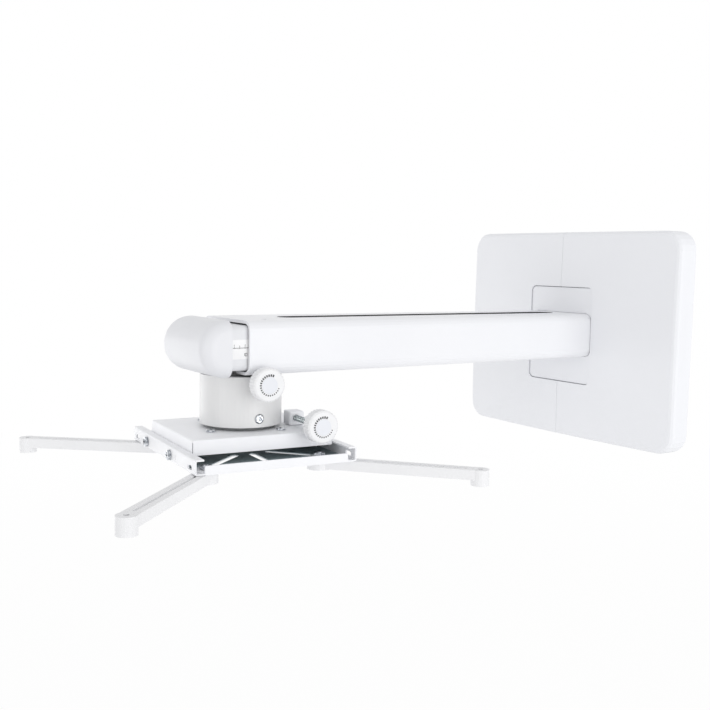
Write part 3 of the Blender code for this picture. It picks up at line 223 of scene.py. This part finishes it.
def buildPaintedShadeMask():
    # 1 inside a block of space and 0 beyond its soft edge, for painted shade in a hollow or under a part
    group, given, end = newGroup(
        "paintedInsideShade",
        [("Place", "Vector", (0.0, 0.0, 0.0)), ("Half length", "Float", 0.05),
         ("Half width", "Float", 0.05), ("End edge", "Float", 0.004), ("Side edge", "Float", 0.004),
         ("Low", "Float", -1.0), ("High", "Float", 1.0)],
        [("Mask", "Float")])
    split = addNode(group, "ShaderNodeSeparateXYZ", {0: given["Place"]}).outputs
    mask = 1.0
    for axis, reach, edge in (("X", "Half length", "End edge"), ("Y", "Half width", "Side edge")):
        outer = calculate(group, "ADD", given[reach], given[edge])
        fall = mapped(
            group, calculate(group, "ABSOLUTE", split[axis]),
            {"From Min": given[reach], "From Max": outer, "To Min": 1.0, "To Max": 0.0},
            interpolation_type="SMOOTHSTEP")
        mask = calculate(group, "MULTIPLY", mask, fall)
    for limit, operation in (("Low", "GREATER_THAN"), ("High", "LESS_THAN")):
        within = calculate(group, operation, split["Z"], given[limit])
        mask = calculate(group, "MULTIPLY", mask, within)
    setInputs(group, end, {"Mask": mask})
    return group


finePeel = buildPeel()
slowTone = buildTone()
streaksAndReflections = buildStreaksAndReflections()
paintedInsideShade = buildPaintedShadeMask()


def newMaterial(name):
    material = bpy.data.materials.new(name)
    material.use_nodes = True
    tree = material.node_tree
    return material, tree, tree.nodes["Principled BSDF"]


def paintInsideShade(tree, paintedShade, surfaceColour):
    # painted shade: a dark colour on the part of a surface that lies in a block of space, which may stand
    # turned
    turned = addNode(tree, "ShaderNodeMapping", {
        "Vector": objectPlace(tree), "Location": paintedShade["origin"],
        "Rotation": (0.0, 0.0, math.radians(paintedShade["yaw"]))}, vector_type="TEXTURE")
    block = addNode(tree, "ShaderNodeGroup", {
        "Place": turned.outputs[0], "Half length": paintedShade["halfLength"], "Half width": paintedShade["halfWidth"],
        "End edge": paintedShade["endEdge"], "Side edge": paintedShade["sideEdge"],
        "Low": paintedShade["low"], "High": paintedShade["high"]}, node_tree=paintedInsideShade)
    return mixed(tree, "RGBA", block.outputs["Mask"], surfaceColour, (*paintedShade["colour"], 1))


def paintedMaterial(look):
    # paint or moulded plastic: slow tone for colour and roughness, peel for the surface
    material, tree, shader = newMaterial(look["name"])
    low, high = look["rough"]
    tone = addNode(tree, "ShaderNodeGroup", {
        "Base": (*look["colour"], 1), "Shade": (*look["shade"], 1), "Size": look["toneSize"],
        "Rough low": low, "Rough high": high}, node_tree=slowTone)
    surfaceColour = tone.outputs["Color"]
    # painted shade, on the looks that have a block of it
    if "paintedShade" in look:
        surfaceColour = paintInsideShade(tree, look["paintedShade"], surfaceColour)
    peel = addNode(tree, "ShaderNodeGroup", {
        "Grain": look["grain"], "Wave": look["wave"], "Wave share": look["waveShare"]}, node_tree=finePeel)
    setInputs(tree, shader, {
        "Base Color": surfaceColour, "Roughness": tone.outputs["Roughness"],
        "Normal": bumped(tree, look, peel.outputs["Height"]), "Specular IOR Level": look["specular"],
        "Coat Weight": look.get("coat", 0.0), "Coat Roughness": look.get("coatRough", 0.25)})
    return material


def metalMaterial(look):
    # bright metal: its lines move the colour between two tones, and the roughness and surface with it; on
    # the screws and threads the darker tone is painted reflection
    material, tree, shader = newMaterial(look["name"])
    lines = addNode(tree, "ShaderNodeGroup", {"Along": look["along"]}, node_tree=streaksAndReflections).outputs
    low, high = look["rough"]
    setInputs(tree, shader, {
        "Base Color": mixed(tree, "RGBA", lines["Mask"], (*look["colour"], 1), (*look["shade"], 1)),
        "Roughness": mapped(tree, lines["Height"], {"To Min": low, "To Max": high}),
        "Normal": bumped(tree, look, lines["Height"]), "Metallic": 1.0})
    return material


# how the neck, and the tray and plate below it, stand turned in the photo: degrees from the arm
neckYaw = -3.4
interfaceYaw = -4.9
interfaceFrame = {"origin": (0.0, -0.471, 0.0), "yaw": interfaceYaw}
corners = ("front_left", "front_right", "back_right", "back_left")


def numberedNames(stem, count):
    return ["%s_%d" % (stem, k + 1) for k in range(count)]


# finishes of the fixed pieces: a colour and the shade that it drifts to, then the surface
armPaint = {
    "name": "armPaint", "colour": (0.872, 0.878, 0.905), "shade": (0.853, 0.86, 0.888), "toneSize": 6.0,
    "rough": (0.30, 0.40), "grain": 1500.0, "wave": 260.0, "waveShare": 0.35, "bump": 0.10,
    "relief": 0.0004, "specular": 0.5, "nodes": ["arm_tube"],
    "paintedShade": {"origin": (0.0, -0.24, 0.0), "yaw": 0.0, "halfLength": 0.01203, "halfWidth": 0.1905,
               "endEdge": 0.00003, "sideEdge": 0.0002, "low": 0.0195, "high": 0.02572,
               "colour": (0.03, 0.03, 0.033)}}  # painted shade: the cable slot's walls are coloured black, as the shade in the slot
tubePaint = {
    "name": "tubePaint", "colour": (0.797, 0.806, 0.83), "shade": (0.768, 0.777, 0.802), "toneSize": 14.0,
    "rough": (0.32, 0.44), "grain": 1500.0, "wave": 260.0, "waveShare": 0.35, "bump": 0.12,
    "relief": 0.0004, "specular": 0.5, "nodes": ["sliding_tube"]}
trayPaint = {
    "name": "trayPaint", "colour": (0.933, 0.94, 0.965), "shade": (0.908, 0.916, 0.942), "toneSize": 22.0,
    "rough": (0.34, 0.46), "grain": 1900.0, "wave": 420.0, "waveShare": 0.4, "bump": 0.16, "relief": 0.0004,
    "specular": 0.5, "nodes": ["tray", "clamp_lug"],
    # painted shade: the tray's underside, within its flanges, is darkened as the shade beneath it
    "paintedShade": dict(interfaceFrame, halfLength=0.0599, halfWidth=0.0702, endEdge=0.0002, sideEdge=0.0002,
                   low=-1.0, high=-0.0809, colour=(0.27, 0.32, 0.34))}
platePaint = dict(
    trayPaint, name="platePaint", nodes=["projector_plate"],
    colour=(0.888, 0.894, 0.918), shade=(0.866, 0.872, 0.896),
    # painted shade: the plate's floor beneath the tray is darkened, fading towards its ends
    paintedShade=dict(interfaceFrame, halfLength=0.062, halfWidth=0.0770, endEdge=0.008, sideEdge=0.0012,
                low=-0.1045, high=-0.0960, colour=(0.31, 0.385, 0.41)))
coverPlastic = {
    "name": "coverPlastic", "colour": (0.868, 0.877, 0.908), "shade": (0.85, 0.859, 0.89), "toneSize": 5.0,
    "rough": (0.44, 0.56), "grain": 2600.0, "wave": 800.0, "waveShare": 0.3, "bump": 0.18, "relief": 0.0003,
    "specular": 0.4, "nodes": ["cover_left", "cover_right", "cover_insert", "cover_insert_low"]}
capPlastic = {
    "name": "capPlastic", "colour": (0.785, 0.792, 0.822), "shade": (0.766, 0.773, 0.803), "toneSize": 18.0,
    "rough": (0.38, 0.48), "grain": 2200.0, "wave": 700.0, "waveShare": 0.3, "bump": 0.14, "relief": 0.0003,
    "specular": 0.45, "coat": 0.15, "coatRough": 0.2, "nodes": ["end_cap"]}
neckPaint = {
    "name": "neckPaint", "colour": (0.77, 0.77, 0.772), "shade": (0.75, 0.751, 0.754), "toneSize": 20.0,
    "rough": (0.42, 0.55), "grain": 1300.0, "wave": 380.0, "waveShare": 0.4, "bump": 0.24, "relief": 0.0005,
    "specular": 0.45, "coat": 0.6, "coatRough": 0.3, "nodes": ["neck_tube"]}
spiderPaint = {
    "name": "spiderPaint", "colour": (0.87, 0.872, 0.885), "shade": (0.84, 0.842, 0.857), "toneSize": 16.0,
    "rough": (0.50, 0.62), "grain": 1600.0, "wave": 300.0, "waveShare": 0.25, "bump": 0.08,
    "relief": 0.0004, "specular": 0.45, "nodes": ["spider_arm_" + corner for corner in corners]}
knobPlastic = {
    "name": "knobPlastic", "colour": (0.87, 0.873, 0.885), "shade": (0.845, 0.848, 0.86), "toneSize": 60.0,
    "rough": (0.40, 0.50), "grain": 3000.0, "wave": 900.0, "waveShare": 0.3, "bump": 0.12, "relief": 0.0002,
    "specular": 0.45, "nodes": ["neck_knob", "clamp_knob"]}
glidePlastic = {
    "name": "glidePlastic", "colour": (0.022, 0.022, 0.024), "shade": (0.035, 0.035, 0.038),
    "toneSize": 40.0,
    "rough": (0.55, 0.7), "grain": 2400.0, "wave": 500.0, "waveShare": 0.3, "bump": 0.15, "relief": 0.0002,
    "specular": 0.2, "nodes": ["front_glide", "rear_glide", "slot_strip"]}
darkSteel = {
    "name": "darkSteel", "colour": (0.085, 0.087, 0.092), "shade": (0.13, 0.13, 0.135), "toneSize": 50.0,
    "rough": (0.40, 0.55), "grain": 1800.0, "wave": 500.0, "waveShare": 0.4, "bump": 0.2, "relief": 0.0003,
    "specular": 0.5, "nodes": ["arm_socket", "pivot_nut"]}
turntableSteel = dict(
    darkSteel, name="turntableSteel", colour=(0.26, 0.27, 0.275), shade=(0.20, 0.21, 0.215),
    nodes=["turntable_disc", "neck_base"])
spigotSteel = dict(
    darkSteel, name="spigotSteel", colour=(0.60, 0.605, 0.61), shade=(0.52, 0.525, 0.53),
    nodes=["neck_spigot"])
# the dark shade of the streaks is painted reflection
zincSteel = {
    "name": "zincSteel", "colour": (0.80, 0.82, 0.85), "shade": (0.17, 0.19, 0.22),
    "rough": (0.14, 0.36), "along": (900.0, 500.0, 900.0), "bump": 0.2, "relief": 0.0002,
    "nodes": (numberedNames("socket_bolt", 4) + numberedNames("arm_lock_screw", 2) + ["spigot_bolt"]
              + numberedNames("neck_screw", 2) + ["neck_knob_stud", "pivot_bolt"]
              + numberedNames("tray_screw", 4) + ["clamp_knob_stud"]
              + numberedNames("rail_spacer_front", 2) + numberedNames("rail_spacer_back", 2)
              + ["spider_bolt_" + corner for corner in corners]
              + ["spider_nut_" + corner for corner in corners])}
wallPlateSteel = {
    "name": "wallPlateSteel", "colour": (0.62, 0.63, 0.645), "shade": (0.50, 0.51, 0.53),
    "rough": (0.34, 0.46), "along": (900.0, 900.0, 30.0), "bump": 0.05, "relief": 0.0002,
    "nodes": ["wall_plate"]}
# the dark shade of the streaks is painted reflection
threadSteel = {
    "name": "threadSteel", "colour": (0.62, 0.67, 0.68), "shade": (0.06, 0.08, 0.085),
    "rough": (0.18, 0.34), "along": (900.0, 500.0, 900.0), "bump": 0.2, "relief": 0.0002, "nodes": []}
# the dark shade of the streaks is painted reflection
railScrewSteel = {
    "name": "railScrewSteel", "colour": (0.74, 0.76, 0.79), "shade": (0.16, 0.18, 0.21),
    "rough": (0.16, 0.36), "along": (700.0, 700.0, 300.0), "bump": 0.2, "relief": 0.0002,
    "nodes": numberedNames("rail_screw_front", 2) + numberedNames("rail_screw_back", 2)}


def dressNodes():
    made = {}
    for look in (armPaint, tubePaint, trayPaint, platePaint, coverPlastic, capPlastic, neckPaint,
                 spiderPaint, knobPlastic, glidePlastic, darkSteel, turntableSteel, spigotSteel):
        made[look["name"]] = (paintedMaterial(look), look["nodes"])
    for look in (zincSteel, wallPlateSteel, railScrewSteel, threadSteel):
        made[look["name"]] = (metalMaterial(look), look["nodes"])
    for material, names in made.values():
        for name in names:
            slots = nodes[name].data.materials
            slots.clear()
            slots.append(material)
    bare = sorted(set(nodes) - {name for _, names in made.values() for name in names})
    print("materials on the fixed pieces, without one:", bare)
    return {key: value[0] for key, value in made.items()}


materials = dressNodes()


# the printed label with its scale, on the sliding tube's near side
slideScale = {
    "frontY": -0.5045, "length": 0.195, "lowZ": -0.0097, "highZ": 0.0085, "x": 0.04548,
    "thickness": 0.00012, "division": 0.0112, "parts": 2, "firstLongY": -0.5016, "bareEnd": 0.004,
    "baseZ": 0.0007, "baseWidth": 0.00046, "baseShort": 0.001, "lineWidth": 0.00034,
    "longTick": 0.0034, "halfTick": 0.0024, "below": 0.0006, "inkDepth": 0.00005,
    "digitHeight": 0.0027, "digitWidth": 0.0016, "digitGap": 0.0008, "digitTop": -0.0042,
    "stroke": 0.00040, "numberEvery": 2, "numberStep": 10,
    "paper": (0.93, 0.93, 0.94), "paperShade": 0.97, "ink": (0.05, 0.05, 0.055)}
digitBars = {  # of the bars top, upper left, upper right, middle, lower left, lower right and bottom
    "0": (0, 1, 2, 4, 5, 6), "1": (2, 5), "2": (0, 2, 3, 4, 6), "3": (0, 2, 3, 5, 6),
    "4": (1, 2, 3, 5), "5": (0, 1, 3, 5, 6), "6": (0, 1, 3, 4, 5, 6), "7": (0, 2, 5),
    "8": (0, 1, 2, 3, 4, 5, 6), "9": (0, 1, 2, 3, 5, 6)}
inkLook = {"shade": 1.4, "bump": 0.05}  # the shade it drifts to, as a share of its colour, and its relief


def shaded(colour, factor):
    return tuple(channel * factor for channel in colour)


def inkMaterial(name, colour):
    return paintedMaterial(dict(
        glidePlastic, name=name, colour=colour, shade=shaded(colour, inkLook["shade"]),
        bump=inkLook["bump"], nodes=[]))


def numberBlocks(text, y):
    # centres and sizes, in the label's plane, of the bars of a number that is centred at y
    s = slideScale
    w, h, t = s["digitWidth"], s["digitHeight"], s["stroke"]
    bars = [(0, 0, w, t), (-w / 2, -h / 4, t, h / 2), (w / 2, -h / 4, t, h / 2), (0, -h / 2, w, t),
            (-w / 2, -h * 0.75, t, h / 2), (w / 2, -h * 0.75, t, h / 2), (0, -h, w, t)]
    step = w + s["digitGap"]
    blocks = []
    for place, digit in enumerate(text):
        middle = y + (place - (len(text) - 1) / 2) * step
        for along, up, width, height in (bars[k] for k in digitBars[digit]):
            blocks.append((middle + along, s["digitTop"] + up, width, height))
    return blocks


def makeSlideScale():
    s = slideScale
    middleY = s["frontY"] + s["length"] / 2
    centre = np.array([[s["x"] + s["thickness"] / 2, middleY, (s["lowZ"] + s["highZ"]) / 2]])
    size = np.array([[s["thickness"], s["length"], s["highZ"] - s["lowZ"]]])
    strip = meshFromArrays("scale_strip", *boxBlocks(centre, size))
    strip.data.materials.append(paintedMaterial(dict(
        knobPlastic, name="scalePaper", colour=s["paper"], shade=shaded(s["paper"], s["paperShade"]),
        nodes=[])))
    # ticks stand on the base line: tall at a division and lower at its half
    step = s["division"] / s["parts"]
    index = np.arange(int((s["length"] - s["bareEnd"]) / step))
    y = s["firstLongY"] + index * step
    tall = np.where(index % s["parts"] == 0, s["longTick"], s["halfTick"])
    flat = [(place, s["baseZ"] + (rise - s["below"]) / 2, s["lineWidth"], rise + s["below"])
            for place, rise in zip(y, tall)]
    flat.append((middleY, s["baseZ"], s["length"] - s["baseShort"], s["baseWidth"]))
    for order, place in enumerate(y[s["parts"]::s["parts"] * s["numberEvery"]], start=1):
        flat += numberBlocks(str(order * s["numberStep"]), place)
    flat = np.array(flat)
    x = np.full(len(flat), s["x"] + s["thickness"] + s["inkDepth"] / 2)
    centres = np.stack([x, flat[:, 0], flat[:, 1]], axis=1)
    sizes = np.stack([np.full(len(flat), s["inkDepth"]), flat[:, 2], flat[:, 3]], axis=1)
    ticks = meshFromArrays("scale_ticks", *boxBlocks(centres, sizes))
    ticks.data.materials.append(inkMaterial("scaleInk", s["ink"]))
    for piece in (strip, ticks):
        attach(piece, "extension")
    print("scale on the sliding tube:", len(y), "ticks")


makeSlideScale()


# the sliding tube's end cap, as a finer surface than the fixed piece
endCap = {
    "halfWidth": 0.050, "halfHeight": 0.0268, "centreZ": -0.0006, "backY": -0.5053, "straight": 0.0025,
    "fillet": 0.012, "wall": 0.003, "arcSteps": 56, "filletSteps": 14, "sideSteps": 7, "acrossSteps": 16,
    "openHalfWidth": 0.0456, "openHalfHeight": 0.0214, "openCorner": 0.0078}


def capSection(halfWidth, halfHeight, fillet):
    # x, and the distance d from the cap's middle height, from one side's middle to the other's:
    # up the flat side, round the fillet x = w - r (1 - sin a), d = h - r (1 - cos a), and across
    c = endCap
    rise = np.linspace(0.0, halfHeight - fillet, c["sideSteps"], endpoint=False)
    a = np.linspace(np.pi / 2, 0.0, c["filletSteps"], endpoint=False)
    roundX = halfWidth - fillet * (1 - np.sin(a))
    roundD = halfHeight - fillet * (1 - np.cos(a))
    across = np.linspace(-(halfWidth - fillet), halfWidth - fillet, c["acrossSteps"])
    side = np.full(len(rise), halfWidth)
    x = np.concatenate([-side, -roundX, across, roundX[::-1], side])
    d = np.concatenate([rise, roundD, np.full(len(across), halfHeight), roundD[::-1], rise[::-1]])
    return x, d


def capShell(section, y, angles):
    # y = middle + d cos(angle), z = centre + d sin(angle), from the top over the front to the bottom
    x, d = section
    angles = angles[:, None]
    return np.stack([np.broadcast_to(x, (len(angles), len(x))), y + d * np.cos(angles),
                     endCap["centreZ"] + d * np.sin(angles)], axis=2)


def capEdge(section, y, side):
    x, d = section
    return np.stack([x, np.full(len(x), y), endCap["centreZ"] + side * d], axis=1)[None]


def makeEndCap():
    c = endCap
    outer = capSection(c["halfWidth"], c["halfHeight"], c["fillet"])
    inner = capSection(c["halfWidth"] - c["wall"], c["halfHeight"] - c["wall"], c["fillet"] - c["wall"])
    opening = capSection(c["openHalfWidth"], c["openHalfHeight"], c["openCorner"])
    middle = c["backY"] - c["straight"]
    angles = np.linspace(np.pi / 2, 3 * np.pi / 2, c["arcSteps"])
    # one closed run: over the outside, in at the opening's lower edge, back inside and out at the top
    rows = np.concatenate([
        capEdge(outer, c["backY"], 1), capShell(outer, middle, angles), capEdge(outer, c["backY"], -1),
        capEdge(opening, c["backY"], -1), capEdge(opening, middle, -1),
        capShell(inner, middle, angles[::-1]),
        capEdge(opening, middle, 1), capEdge(opening, c["backY"], 1)])
    quads = gridQuads(rows.shape[0], rows.shape[1], closeRows=True)
    cap = meshFromArrays("end_cap_shell", rows, quads)
    faceOutwards(cap)
    shadeSmooth(cap)
    cap.data.materials.append(materials["capPlastic"])
    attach(cap, "extension")
    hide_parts("end_cap")
    print("end cap made")


makeEndCap()


# threads of the two thumb screws
threads = {
    "pitch": 0.00125, "depth": 0.00055, "around": 24, "perTurn": 8, "sharpFrom": 50,
    "inset": 0.00002,  # from the fixed stud's surface to the crests
    "tipLength": 0.0008, "tipDrop": 0.0009,  # the low end narrows by the drop over the length
    "studs": {
        "clamp_knob_stud": {"body": "clamp_thumb_knob", "name": "clamp_thread", "yaw": interfaceYaw},
        "neck_knob_stud": {"body": "neck_thumb_knob", "name": "neck_thread", "yaw": neckYaw}}}


def studLine(name, yaw):
    # the stud's axis, the place where it passes nearest to the origin, its two ends and its radius
    points = nodePoints(name)
    axis = levelAxis(yaw)
    along = points @ axis
    middle = (points.max(axis=0) + points.min(axis=0)) / 2
    middle = middle - axis * (middle @ axis)
    flat = points - np.outer(along, axis) - middle
    radius = np.linalg.norm(flat, axis=1).max()
    return axis, middle, along.min(), along.max(), radius


def makeThread(name, stud):
    # radius = outer radius minus the thread's depth times a triangle wave of (length / pitch - turn)
    axis, middle, low, high, radius = studLine(name, stud["yaw"])
    t = threads
    rows = int((high - low) / t["pitch"] * t["perTurn"]) + 1
    along = np.linspace(low, high, rows)
    turn = np.arange(t["around"]) / t["around"]
    phase = (along[:, None] / t["pitch"] - turn[None, :]) % 1.0
    wave = np.abs(2 * phase - 1)
    run = np.minimum((along - low) / t["tipLength"], 1.0)[:, None]
    r = radius - t["inset"] - t["depth"] * wave - t["tipDrop"] * (1 - run)
    origin, basis = turnedFrame(middle, axis)
    angle = 2 * np.pi * turn[None, :]
    points = (origin + along[:, None, None] * axis
              + (r * np.cos(angle))[..., None] * basis[:, 0] + (r * np.sin(angle))[..., None] * basis[:, 1])
    # each end is closed by a fan of triangles round its middle
    hub = rows * t["around"]
    first = np.arange(t["around"])
    second = (first + 1) % t["around"]
    last = hub - t["around"]
    capLow = np.stack([first, second, np.full(t["around"], hub)], axis=1)
    capHigh = np.stack([second + last, first + last, np.full(t["around"], hub + 1)], axis=1)
    ends = np.array([origin + low * axis, origin + high * axis])
    points = np.concatenate([points.reshape(-1, 3), ends])
    quads = gridQuads(rows, t["around"], closeColumns=True)
    piece = meshFromArrays(stud["name"], points, quads, capLow, capHigh)
    faceOutwards(piece)
    shadeSmooth(piece, t["sharpFrom"])
    piece.data.materials.append(materials["threadSteel"])
    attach(piece, stud["body"])
    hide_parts(name)
    print(stud["name"], "rows", rows)


for studName, stud in threads["studs"].items():
    makeThread(studName, stud)


# raised disc and a tapering ring of ticks on each knob's face
knobFaces = {
    "innerRadius": 0.0083, "longMark": 0.0023, "shortMark": 0.0011, "wideMark": 0.0015,
    "narrowMark": 0.0010, "markHeight": 0.00012, "count": 21, "from": 70.0, "to": 340.0,
    "ink": (0.06, 0.06, 0.065),
    "discRadius": 0.0079, "discRise": 0.00045, "discEdge": 0.0006, "discSink": 0.0004, "discDome": 0.0001,
    "around": 64, "edgeSteps": 7, "domeSteps": 9, "disc": (0.80, 0.815, 0.86), "discShade": 0.98,
    "rimDepth": 0.004,  # how far behind the knob's front its rim reaches
    "knobs": {"neck_knob": ("neck_thumb_knob", neckYaw), "clamp_knob": ("clamp_thumb_knob", interfaceYaw)}}


def knobFace(name, yaw):
    # the middle of the knob's front, and the axis that it turns on
    points = nodePoints(name)
    axis = levelAxis(yaw)
    along = points @ axis
    rim = points[along > along.max() - knobFaces["rimDepth"]]
    centre = (rim.max(axis=0) + rim.min(axis=0)) / 2
    centre = centre + axis * (along.max() - centre @ axis)
    return centre, axis


def makeKnobMarks(name, body, origin, basis):
    # radial bars at equal angles round the face, whose length and width shrink from the first to the last
    m = knobFaces
    share = np.linspace(0.0, 1.0, m["count"])
    angle = np.radians(m["from"] + (m["to"] - m["from"]) * share)
    radial = np.cos(angle)[:, None] * basis[:, 0] + np.sin(angle)[:, None] * basis[:, 1]
    tangent = -np.sin(angle)[:, None] * basis[:, 0] + np.cos(angle)[:, None] * basis[:, 1]
    length = m["longMark"] + (m["shortMark"] - m["longMark"]) * share
    width = m["wideMark"] + (m["narrowMark"] - m["wideMark"]) * share
    middle = m["innerRadius"] + m["longMark"] / 2
    out, across, up = (boxCorners[None, :, k:k + 1] for k in range(3))
    points = (origin + radial[:, None, :] * (middle + out * length[:, None, None])
              + tangent[:, None, :] * across * width[:, None, None]
              + basis[:, 2] * up * m["markHeight"])
    marks = meshFromArrays(name + "_marks", points, boxQuads(m["count"]))
    faceOutwards(marks)
    marks.data.materials.append(inkMaterial(name + "Ink", m["ink"]))
    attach(marks, body)


def makeKnobDisc(name, body, origin, basis):
    # a profile turned about the knob's axis: a sunk foot, the rounded edge r = R - e (1 - cos a),
    # h = H sin a, and a top that is lower towards its rim by the dome's height times (r / R) squared
    m = knobFaces
    a = np.linspace(0.0, np.pi / 2, m["edgeSteps"])
    radius = m["discRadius"] - m["discEdge"] * (1 - np.cos(a))
    height = (m["discRise"] - m["discDome"]) * np.sin(a)
    inward = np.linspace(radius[-1], 0.0, m["domeSteps"])[1:]
    dome = m["discRise"] - m["discDome"] * (inward / radius[-1]) ** 2
    radius = np.concatenate([[0.0, m["discRadius"]], radius, inward])
    height = np.concatenate([[-m["discSink"], -m["discSink"]], height, dome])
    turn = 2 * np.pi * np.arange(m["around"]) / m["around"]
    points = (origin + (radius[:, None] * np.cos(turn))[..., None] * basis[:, 0]
              + (radius[:, None] * np.sin(turn))[..., None] * basis[:, 1]
              + (height[:, None] * np.ones(len(turn)))[..., None] * basis[:, 2])
    disc = meshFromArrays(name + "_disc", points, gridQuads(len(radius), len(turn), closeColumns=True))
    faceOutwards(disc)
    shadeSmooth(disc)
    disc.data.materials.append(materials["discPlastic"])
    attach(disc, body)


materials["discPlastic"] = paintedMaterial(dict(
    knobPlastic, name="discPlastic", colour=knobFaces["disc"],
    shade=shaded(knobFaces["disc"], knobFaces["discShade"]), nodes=[]))
for knobName, (body, yaw) in knobFaces["knobs"].items():
    centre, axis = knobFace(knobName, yaw)
    origin, basis = turnedFrame(centre, axis)
    makeKnobMarks(knobName, body, origin, basis)
    makeKnobDisc(knobName, body, origin, basis)
print("knob faces made")


# floor, light and camera
stageLook = {
    "floorZ": -1.15, "reach": 14.0, "colour": (0.93, 0.93, 0.93), "roughness": 0.9,
    "cameraShare": 0.94,  # plain white in what the camera sees of the floor, rising to all between:
    "fadeFrom": 1.5, "fadeTo": 6.0,
    "worldStrength": 0.78, "worldColour": (1.0, 1.0, 1.0)}


def seenRays(tree):
    # 1 on the rays of the camera, mirrors and glass, and 0 on those that light the scene
    path = addNode(tree, "ShaderNodeLightPath").outputs
    seen = path["Is Camera Ray"]
    for kind in ("Is Glossy Ray", "Is Transmission Ray"):
        seen = calculate(tree, "ADD", seen, path[kind], clamp=True)
    return seen


def makeFloor():
    s = stageLook
    r = s["reach"]
    points = np.array([[x, y, s["floorZ"]] for x, y in ((-r, -r), (r, -r), (r, r), (-r, r))])
    floor = meshFromArrays("floor", points, np.array([[0, 1, 2, 3]]))
    material, tree, shader = newMaterial("paleFloor")
    setInputs(tree, shader, {"Base Color": (*s["colour"], 1), "Roughness": s["roughness"]})
    glow = addNode(tree, "ShaderNodeEmission", {"Color": plainWhite, "Strength": 1.0})
    away = addNode(tree, "ShaderNodeVectorMath", {0: objectPlace(tree)}, operation="LENGTH")
    white = mapped(
        tree, away.outputs["Value"],
        {"From Min": s["fadeFrom"], "From Max": s["fadeTo"], "To Min": s["cameraShare"]},
        interpolation_type="SMOOTHSTEP")
    share = calculate(tree, "MULTIPLY", seenRays(tree), white)
    mix = addNode(tree, "ShaderNodeMixShader", {0: share, 1: shader.outputs[0], 2: glow.outputs[0]})
    setInputs(tree, tree.nodes["Material Output"], {"Surface": mix.outputs[0]})
    floor.data.materials.append(material)


def makeWorld():
    # plain white where it is seen, and a softer light on the scene
    world = bpy.data.worlds.new("studio")
    bpy.context.scene.world = world
    world.use_nodes = True
    tree = world.node_tree
    back = tree.nodes["Background"]
    setInputs(tree, back, {
        "Color": (*stageLook["worldColour"], 1), "Strength": stageLook["worldStrength"]})
    seenBack = addNode(tree, "ShaderNodeBackground", {"Color": plainWhite, "Strength": 1.0})
    mix = addNode(tree, "ShaderNodeMixShader", {
        0: seenRays(tree), 1: back.outputs[0], 2: seenBack.outputs[0]})
    setInputs(tree, tree.nodes["World Output"], {"Surface": mix.outputs[0]})


lamps = {  # low, so that they whiten the sides and leave the tops to the sky's soft light
    "right": {"place": (2.8, 0.3, 0.05), "aim": (0.0, -0.3, 0.0), "size": 2.0, "power": 22.0},
    "left": {"place": (-1.1, -1.0, -0.3), "aim": (0.0, -0.4, 0.0), "size": 1.0, "power": 2.8},
    "front": {"place": (0.9, -3.8, 0.1), "aim": (0.0, 0.0, 0.0), "size": 1.6, "power": 12.0}}


def makeLamps():
    for name, lamp in lamps.items():
        light = bpy.data.lights.new(name, "AREA")
        light.shape = "SQUARE"
        light.size = lamp["size"]
        light.energy = lamp["power"]
        item = bpy.data.objects.new(name, light)
        bpy.context.scene.collection.objects.link(item)
        direction = Vector(lamp["aim"]) - Vector(lamp["place"])
        turn = direction.to_track_quat("-Z", "Y").to_matrix().to_4x4()
        item.matrix_world = Matrix.Translation(lamp["place"]) @ turn


cameraLook = {
    "place": (0.8351, -0.8994, 0.0828), "azimuth": 56.01, "pitch": 5.60, "roll": 1.16,
    "focalPixels": 954.68, "framePixels": 710.0, "sensor": 36.0, "farthest": 60.0}


def makeCamera():
    c = cameraLook
    az, pitch, roll = (math.radians(c[key]) for key in ("azimuth", "pitch", "roll"))
    forward = Vector((-math.sin(az) * math.cos(pitch), math.cos(az) * math.cos(pitch), -math.sin(pitch)))
    level = Vector((math.cos(az), math.sin(az), 0.0))
    upright = level.cross(forward)
    right = math.cos(roll) * level + math.sin(roll) * upright
    up = -math.sin(roll) * level + math.cos(roll) * upright
    data = bpy.data.cameras.new("photoView")
    data.sensor_fit = "HORIZONTAL"
    data.sensor_width = c["sensor"]
    data.lens = c["focalPixels"] / c["framePixels"] * c["sensor"]
    data.clip_end = c["farthest"]
    camera = bpy.data.objects.new("photoView", data)
    bpy.context.scene.collection.objects.link(camera)
    turn = Matrix((right, up, -forward)).transposed().to_4x4()
    camera.matrix_world = Matrix.Translation(c["place"]) @ turn
    bpy.context.scene.camera = camera


makeFloor()
makeWorld()
makeLamps()
makeCamera()
bpy.context.scene.view_settings.view_transform = "Standard"
print("stage, lights and camera made")
